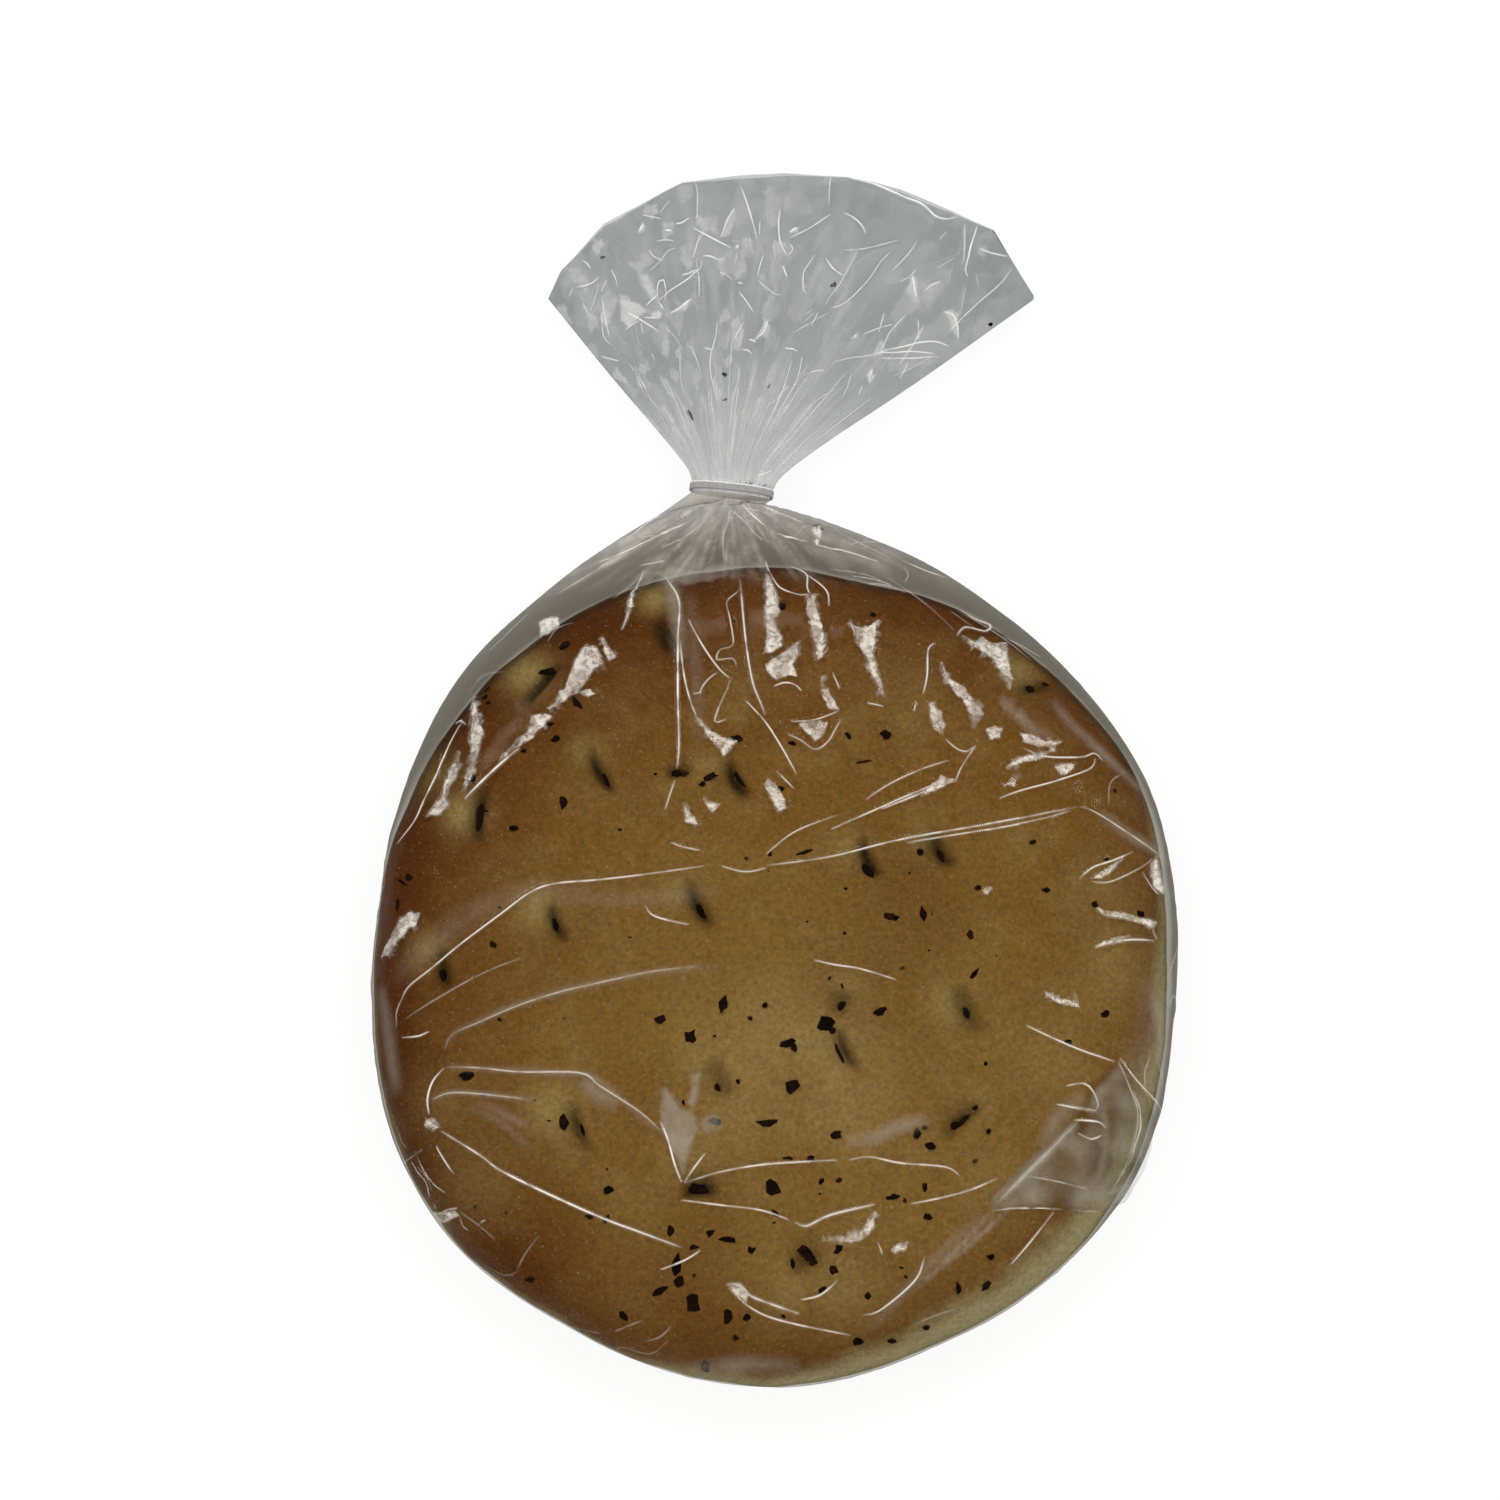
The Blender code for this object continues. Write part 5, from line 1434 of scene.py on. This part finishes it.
def side_rows(edge_points, edge, count):
    """Rings of points from the crust's edge down to the base, their quads and the last ring."""
    radius, angle = polar(edge_points)
    points, quads, last = [], [], edge
    for step in range(1, LOAF_SIDE_ROWS + 1):
        turn = math.pi / 2 * step / LOAF_SIDE_ROWS
        height = mix(LOAF_BASE_HEIGHT, edge_points[:, 2], 1.0 - math.sin(turn))
        points.append(around(mix(LOAF_BASE_RADIUS, radius, math.cos(turn)), angle, height))
        ring = np.arange(count, count + len(edge))
        quads.append(np.stack((last, ring, np.roll(ring, -1), np.roll(last, -1)), axis=1))
        last = ring
        count += len(edge)
    return points, quads, last


def make_loaf(material):
    """The loaf as one closed piece, and the sheet that its crust is placed by."""
    sheet = Sheet(loaf_radius, RIM_START, MIDDLE_HEIGHT, LOAF_TOP, DOME_DROP, LOAF_SECTION)
    disc, crust_quads, edge = disc_grid(LOAF_GRID)
    share, angle = polar(disc)
    flat = disc * sheet.reach(angle)[:, None]
    placed = sheet.place(flat)
    depth, halo, slit_shade = dimple_fields(placed[:, 0], placed[:, 1])
    warmth, paleness = crust_spots(placed[:, 0], placed[:, 1])
    rim = smoothstep(0.6, 0.85, share)
    lumps = 0.35 * noise_at(placed, 42.0, 1) + (0.16 + 0.14 * rim) * noise_at(placed, 13.0, 2)
    lumps += 0.06 * noise_at(placed, 4.0, 3)
    lumps *= 1.0 - smoothstep(*EDGE_FADE, share)
    placed += normals_of(sheet.place, flat) * lumps[:, None]
    placed[:, 2] -= depth
    side_points, side_quads, base_ring = side_rows(placed[edge], edge, len(placed))
    points = np.concatenate([placed] + side_points)
    faces = np.concatenate([crust_quads] + side_quads).tolist() + [base_ring[::-1].tolist()]
    shades = {"halo": np.maximum(halo, paleness), "slit_shade": slit_shade, "warmth": warmth}
    rest = np.zeros(len(points) - len(placed))
    shades = {key: np.concatenate((values, rest)) for key, values in shades.items()}
    return new_mesh("loaf", points, faces, material, shades), sheet


# ---------------------------------------------------------------- herbs

def flake_shape(draw, length, width):
    """A bent, uneven chip: its points and faces about the origin."""
    sides = draw.randint(7, 9)
    thick = draw.uniform(0.18, 0.4)
    bend = draw.uniform(-0.12, 0.12)
    top, low = [], []
    for index in range(sides):
        turn = 2 * math.pi * (index + draw.uniform(-0.3, 0.3)) / sides
        reach = draw.uniform(0.34, 0.74)
        x = length * reach * math.cos(turn)
        y = width * reach * math.sin(turn)
        z = bend * x * x / length
        top.append((x * 0.9, y * 0.9, z + thick))
        low.append((x, y, z))
    points = [(0.0, 0.0, thick * 1.25)] + top + low + [(0.0, 0.0, -0.3)]
    faces = []
    for index in range(sides):
        following = (index + 1) % sides
        faces.append((0, 1 + index, 1 + following))
        faces.append((1 + index, 1 + sides + index, 1 + sides + following))
        faces.append((1 + index, 1 + sides + following, 1 + following))
        faces.append((1 + 2 * sides, 1 + sides + following, 1 + sides + index))
    return points, faces


def listed_flakes(table, locate):
    """Flakes of a table as places, lengths, widths and directions."""
    return [(*locate(px, py), length * PIXEL, width * PIXEL, math.radians(turn))
            for px, py, length, width, turn in table]


def loose_place(px, py):
    """The place in the fan, from above, that is seen at a pixel."""
    return from_picture(px, py, FAN_HEIGHT)[:2]


def crust_flakes(draw):
    """All flakes on the crust: those that stand out, then small ones, more of them near the camera."""
    flakes = listed_flakes(HERB_FLAKES, on_loaf)
    while len(flakes) < len(HERB_FLAKES) + SMALL_FLAKES:
        x = draw.gauss(2.0, 56.0)
        y = draw.gauss(-34.0, 60.0)
        near = 1.0 if y < -10 else 0.45
        if math.hypot(x, y) < 114.0 and draw.random() < near:
            size = draw.uniform(0.5, 1.0) ** 2 * 1.5 + 0.2
            flakes.append((x, y, size, size * draw.uniform(0.5, 0.9), draw.uniform(0.0, math.pi)))
    return flakes


def on_crust(sheet):
    """A function that gives a place on the crust and its normal, from where it is seen from above."""
    def lie_at(x, y):
        flat = np.array([sheet.unroll(x, y)])
        point = sheet.place(flat)[0]
        normal = normals_of(sheet.place, flat)[0]
        point[2] -= 0.8 * float(dimple_fields(point[:1], point[1:2])[0][0])
        return point + normal * 0.05, Vector(normal)
    return lie_at


def in_fan(x, y):
    """A place between the fan's two sheets."""
    placed = FAN_MAP.placed
    nearest = ((placed[:, 0] - x) ** 2 + (placed[:, 1] - y) ** 2).argmin()
    return fan_place(FAN_MAP.flat[nearest:nearest + 1], 0)[0], Vector((0.0, 0.0, 1.0))


def make_flakes(name, flakes, lie_at, material, seed):
    """Herb flakes as one joined mesh, lying on a surface."""
    draw = random.Random(seed)
    points, faces, tones = [], [], []
    for x, y, length, width, turn in flakes:
        spot, normal = lie_at(x, y)
        chip, chip_faces = flake_shape(draw, length, width)
        lie = Vector((0.0, 0.0, 1.0)).rotation_difference(normal).to_matrix()
        tilt = Euler((draw.gauss(0, 0.1), draw.gauss(0, 0.1), turn)).to_matrix()
        tone = draw.random() * (0.75 if length > 1.6 else 1.0)
        first = len(points)
        for corner in chip:
            points.append(tuple(Vector(spot) + lie @ tilt @ Vector(corner)))
            tones.append(tone)
        faces.extend(tuple(first + index for index in face) for face in chip_faces)
    return new_mesh(name, points, faces, material, {"tone": tones}, smooth=False)


# ---------------------------------------------------------------- materials

class Nodes:
    """Short names for building a material's nodes."""

    def __init__(self, name):
        self.material = bpy.data.materials.new(name)
        self.material.use_nodes = True
        self.tree = self.material.node_tree
        self.tree.nodes.clear()
        self.output = self.tree.nodes.new("ShaderNodeOutputMaterial")

    @cached_property
    def position(self):
        return self.add("NewGeometry").outputs["Position"]

    def add(self, kind, inputs=None, **settings):
        node = self.tree.nodes.new("ShaderNode" + kind)
        for key, value in settings.items():
            setattr(node, key, value)
        for key, value in (inputs or {}).items():
            self.feed(node.inputs[key], value)
        return node

    def feed(self, socket, value):
        """Link a socket to another one, or give it a value."""
        if isinstance(value, bpy.types.NodeSocket):
            self.tree.links.new(value, socket)
        else:
            socket.default_value = value

    def noise(self, scale, detail=3.0, roughness=0.5):
        return self.add("TexNoise", {"Scale": scale, "Detail": detail, "Roughness": roughness,
                                     "Vector": self.position}).outputs["Fac"]

    def ramp(self, factor, stops):
        node = self.add("ValToRGB", {"Fac": factor})
        while len(node.color_ramp.elements) < len(stops):
            node.color_ramp.elements.new(0.5)
        for element, (place, colour) in zip(node.color_ramp.elements, stops):
            element.position = place
            element.color = (*colour, 1.0) if isinstance(colour, tuple) else (colour, colour, colour, 1.0)
        return node.outputs["Color"]

    def math(self, operation, first, second=0.0, third=0.0, clamp=False):
        node = self.add("Math", {0: first, 1: second, 2: third}, operation=operation)
        node.use_clamp = clamp
        return node.outputs["Value"]

    def times(self, first, second, clamp=False):
        return self.math("MULTIPLY", first, second, clamp=clamp)

    def plus(self, first, second, clamp=False):
        return self.math("ADD", first, second, clamp=clamp)

    def minus(self, first, second):
        return self.math("SUBTRACT", first, second)

    def over(self, first, second):
        return self.math("DIVIDE", first, second)

    def blend(self, factor, first, second, kind="MIX"):
        node = self.add("Mix", data_type="RGBA", blend_type=kind)
        for key, value in (("Factor", factor), ("A", first), ("B", second)):
            socket = [item for item in node.inputs if item.name == key and item.enabled][0]
            self.feed(socket, (*value, 1.0) if isinstance(value, tuple) else value)
        return [item for item in node.outputs if item.enabled][0]

    def attribute(self, name):
        return self.add("Attribute", attribute_name=name).outputs["Fac"]

    def bump(self, height, strength, distance, **under):
        inputs = {"Strength": strength, "Distance": distance, "Height": height, **under}
        return self.add("Bump", inputs).outputs["Normal"]

    def layer(self, share, below, above):
        """One shader over another."""
        return self.add("MixShader", {"Fac": share, 1: below, 2: above}).outputs["Shader"]

    def finish(self, shader):
        self.tree.links.new(shader, self.output.inputs["Surface"])
        return self.material

    def matte(self, colour, roughness, **inputs):
        """The finished material of a surface that hardly mirrors."""
        inputs = {key.replace("_", " "): value for key, value in inputs.items()}
        shader = self.add("BsdfPrincipled", {"Base Color": colour, "Roughness": roughness,
                                             "Specular IOR Level": MATTE_SPECULAR, **inputs})
        return self.finish(shader.outputs["BSDF"])


def crust_material():
    nodes = Nodes("baked_crust")
    parts = nodes.add("SeparateXYZ", {"Vector": nodes.position})
    x, y, z = parts.outputs["X"], parts.outputs["Y"], parts.outputs["Z"]
    broad = nodes.noise(20.0, 3.0, 0.55)
    medium = nodes.noise(75.0, 4.0, 0.6)
    fine = nodes.noise(700.0, 4.0, 0.65)

    def uneven(noise, share):
        return nodes.times(nodes.minus(noise, 0.5), share)

    def distance_from(place):
        flat = nodes.add("CombineXYZ", {"X": x, "Y": y}).outputs["Vector"]
        return nodes.add("VectorMath", {0: flat, 1: place}, operation="DISTANCE").outputs["Value"]

    # The middle is palest nearer the camera, and browning grows from there.
    from_pale = nodes.plus(distance_from((0.014, -0.040, 0.0)), uneven(broad, 0.10))
    top = nodes.ramp(nodes.over(from_pale, 0.18),
                     ((0.0, TAN_LIGHT), (0.20, TAN), (0.60, TAN_WARM), (1.0, BROWN)))
    top = nodes.blend(nodes.ramp(nodes.noise(38.0, 4.0, 0.6), ((0.48, 0.0), (0.70, 0.65))), top, TAN_WARM)
    top = nodes.blend(nodes.ramp(medium, ((0.45, 0.0), (0.75, 0.40))), top, TAN_LIGHT)
    top = nodes.blend(nodes.times(nodes.attribute("warmth"), nodes.plus(medium, 0.45)), top, TAN_DEEP)
    # The rim is brown all round, most on the left and the far side: partly baked browning, partly painted
    # shade of the rim rounding away.
    leaning = nodes.plus(nodes.times(x, -0.13), nodes.times(y, 0.05))
    rim = nodes.plus(distance_from((0.0, 0.0, 0.0)), leaning)
    rim = nodes.over(nodes.plus(rim, uneven(broad, 0.045)), 0.13)
    top = nodes.blend(nodes.ramp(rim, ((0.64, 0.0), (0.98, 0.88))), top, BROWN)
    top = nodes.blend(nodes.ramp(rim, ((0.88, 0.0), (1.03, 0.7))), top, BROWN_DEEP)

    # The side stays pale below an uneven line, which runs highest at the near right.
    corner = nodes.minus(nodes.times(x, 0.75), nodes.times(y, 0.66))
    lift = nodes.ramp(nodes.over(corner, 0.12), ((0.35, 0.0), (0.95, 1.0)))
    line = nodes.math("MULTIPLY_ADD", lift, 0.0095, 0.0125)
    line = nodes.plus(line, uneven(medium, 0.006))
    above = nodes.ramp(nodes.over(nodes.minus(z, line), 0.006), ((0.0, 0.0), (1.0, 1.0)))
    colour = nodes.blend(above, DOUGH, top)
    base = nodes.ramp(nodes.over(z, 0.006), ((0.1, 1.0), (0.9, 0.0)))
    colour = nodes.blend(nodes.times(base, 0.75), colour, TAN_WARM)

    colour = nodes.blend(nodes.times(nodes.attribute("halo"), 0.85, clamp=True), colour, HALO)
    # Painted shade in the deep slits, partly the dark of herbs lying in them.
    colour = nodes.blend(nodes.times(nodes.attribute("slit_shade"), 0.95, clamp=True), colour, SLIT_SHADE)
    colour = nodes.blend(1.0, colour, nodes.ramp(fine, ((0.30, 0.72), (0.52, 1.0), (0.75, 1.30))), "MULTIPLY")
    # Pale specks scattered over the crust.
    specks = nodes.ramp(nodes.noise(1300.0, 2.0), ((0.67, 0.0), (0.73, 1.0)))
    colour = nodes.blend(nodes.times(specks, 0.40), colour, PALE_SPECKS)

    grain = nodes.bump(fine, 0.35, 0.0006)
    return nodes.matte(colour, 0.62, Normal=nodes.bump(medium, 0.25, 0.0012, Normal=grain))


def herb_material():
    nodes = Nodes("dried_herb")
    grain = nodes.noise(900.0, 3.0, 0.6)
    tone = nodes.ramp(nodes.attribute("tone"), HERB_TONES)
    colour = nodes.blend(1.0, tone, nodes.ramp(grain, ((0.3, 0.6), (0.7, 1.35))), "MULTIPLY")
    return nodes.matte(colour, 0.7, Normal=nodes.bump(grain, 0.5, 0.0004))


def film_material(name, roughness, crinkling, tint, least_light, cloudy):
    """Clear film: tint and painted shade darken it, it clouds where milky, painted highlights brighten it,
    and it is glossy.
    """
    nodes = Nodes(name)
    normal = nodes.bump(nodes.noise(900.0, 3.0, 0.6), crinkling, 0.0002)
    # Less light goes through where the film is darkened: painted shade beyond the loaf's edge, and the fan's
    # tint.
    light = nodes.ramp(nodes.attribute("tint_and_painted_shade"), ((0.0, FILM_CLEARNESS), (1.0, least_light)))
    clear = nodes.add("BsdfTransparent", {"Color": light}).outputs["BSDF"]
    haze = nodes.add("BsdfDiffuse", {"Color": cloudy}).outputs["BSDF"]
    painted_white = nodes.add("BsdfDiffuse", {"Color": tint}).outputs["BSDF"]
    gloss = nodes.add("BsdfGlossy", {"Color": tint, "Roughness": roughness, "Normal": normal})
    cloud = nodes.ramp(nodes.noise(160.0, 3.0, 0.65), ((0.3, 0.55), (0.65, 1.0)))
    milk_and_painted_sheen = nodes.times(nodes.attribute("milk_and_painted_sheen"), cloud)
    body = nodes.layer(nodes.times(milk_and_painted_sheen, 0.55, clamp=True), clear, haze)

    # Painted highlight: diffuse paint along creases, in glints and at the neck, broken up in the glints.
    mottle = nodes.ramp(nodes.noise(640.0, 3.0, 0.6), ((0.36, 0.40), (0.58, 1.0)))
    glint = nodes.times(nodes.attribute("shine"), nodes.minus(1.0, mottle))
    mottle = nodes.minus(1.0, glint)
    painted_highlight = nodes.times(nodes.times(nodes.attribute("painted_highlight"), 1.08, clamp=True), mottle)
    body = nodes.layer(painted_highlight, body, painted_white)

    facing = nodes.add("LayerWeight", {"Blend": 0.5, "Normal": normal}).outputs["Facing"]
    grazing = nodes.times(nodes.math("POWER", facing, 5.0), GRAZING_SHINE)
    squarely = nodes.times(nodes.times(nodes.attribute("shine"), GLINT_SHINE - FILM_SHINE), mottle)
    mirrored = nodes.plus(grazing, nodes.plus(squarely, FILM_SHINE), clamp=True)
    return nodes.finish(nodes.layer(mirrored, body, gloss.outputs["BSDF"]))


def tie_material():
    """Milky film, with a painted highlight along the band's far edge."""
    nodes = Nodes("milky_band")
    grain = nodes.noise(1200.0, 3.0)
    parts = nodes.add("SeparateXYZ", {"Vector": nodes.position})
    along = nodes.plus(parts.outputs["Y"], nodes.times(parts.outputs["X"], -math.tan(NECK_TILT)))
    middle = (NECK_CENTRE[1] - NECK_CENTRE[0] * math.tan(NECK_TILT)) * MM
    along = nodes.over(nodes.minus(along, middle), TIE_HALF_WIDTH * MM)
    colour = nodes.ramp(nodes.math("MULTIPLY_ADD", along, 0.5, 0.5), TIE_TONES_AND_HIGHLIGHT)
    colour = nodes.blend(1.0, colour, nodes.ramp(grain, ((0.3, 0.85), (0.7, 1.1))), "MULTIPLY")
    return nodes.matte(colour, 0.6, Normal=nodes.bump(grain, 0.4, 0.0003))


def floor_material():
    return Nodes("pale_floor").matte((FLOOR_TONE, FLOOR_TONE, FLOOR_TONE, 1.0), 0.9,
                                     Emission_Strength=FLOOR_GLOW, Emission_Color=(1.0, 1.0, 1.0, 1.0))


# ---------------------------------------------------------------- floor, lights and camera

def make_floor():
    corners = [(x * FLOOR_HALF, y * FLOOR_HALF, 0.0) for x, y in ((-1, -1), (1, -1), (1, 1), (-1, 1))]
    floor = new_mesh("floor", corners, [(0, 1, 2, 3)], floor_material(), smooth=False)
    floor.location.z = -0.1 * MM


def make_lights():
    world = bpy.data.worlds.new("studio")
    world.use_nodes = True
    background = world.node_tree.nodes["Background"]
    background.inputs["Color"].default_value = (1.0, 1.0, 1.0, 1.0)
    background.inputs["Strength"].default_value = WORLD_LIGHT
    bpy.context.scene.world = world

    for index, box in enumerate(KEY_BOXES + FILL_BOXES):
        compass, elevation, width, height, brightness = box
        light = bpy.data.lights.new("softbox_%d" % index, "AREA")
        light.shape = "RECTANGLE"
        light.size = width
        light.size_y = height
        light.energy = brightness * math.pi * width * height
        item = add_object(light.name, light)
        away = softbox_direction(compass, elevation)
        item.location = (SOFTBOX_CENTRE + away * SOFTBOX_DISTANCE) * MM
        item.rotation_euler = away.to_track_quat("Z", "Y").to_euler()
        item.visible_camera = False
        item.visible_glossy = box in KEY_BOXES


def make_camera():
    data = bpy.data.cameras.new("camera")
    data.lens = CAMERA_LENS
    data.sensor_width = CAMERA_SENSOR
    camera = add_object("camera", data)
    camera.location = CAMERA_PLACE * MM
    camera.rotation_euler = CAMERA_BACK.to_track_quat("Z", "Y").to_euler()
    bpy.context.scene.camera = camera
    bpy.context.scene.view_settings.view_transform = "Standard"


# ---------------------------------------------------------------- putting it together

def main():
    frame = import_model()
    make_camera()
    make_floor()
    make_lights()

    loaf, crust = make_loaf(crust_material())
    herb = herb_material()
    flakes = make_flakes("herb_flakes", crust_flakes(random.Random(7)), on_crust(crust), herb, 8)
    loose = make_flakes("loose_flakes", listed_flakes(LOOSE_FLAKES, loose_place), in_fan, herb, 9)
    film = make_film(film_material("clear_film", *CLEAR_FILM), film_material("crinkled_film", *CRINKLED_FILM))

    pieces = [(loaf, "crust"), (flakes, "herb"), (loose, "herb")] + [(item, "film") for item in film]
    for piece, slot in pieces:
        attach(piece, "root")
        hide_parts("bag")

    tie = frame["nodes"]["neck_tie"]
    tie.data.materials.clear()
    tie.data.materials.append(tie_material())


main()
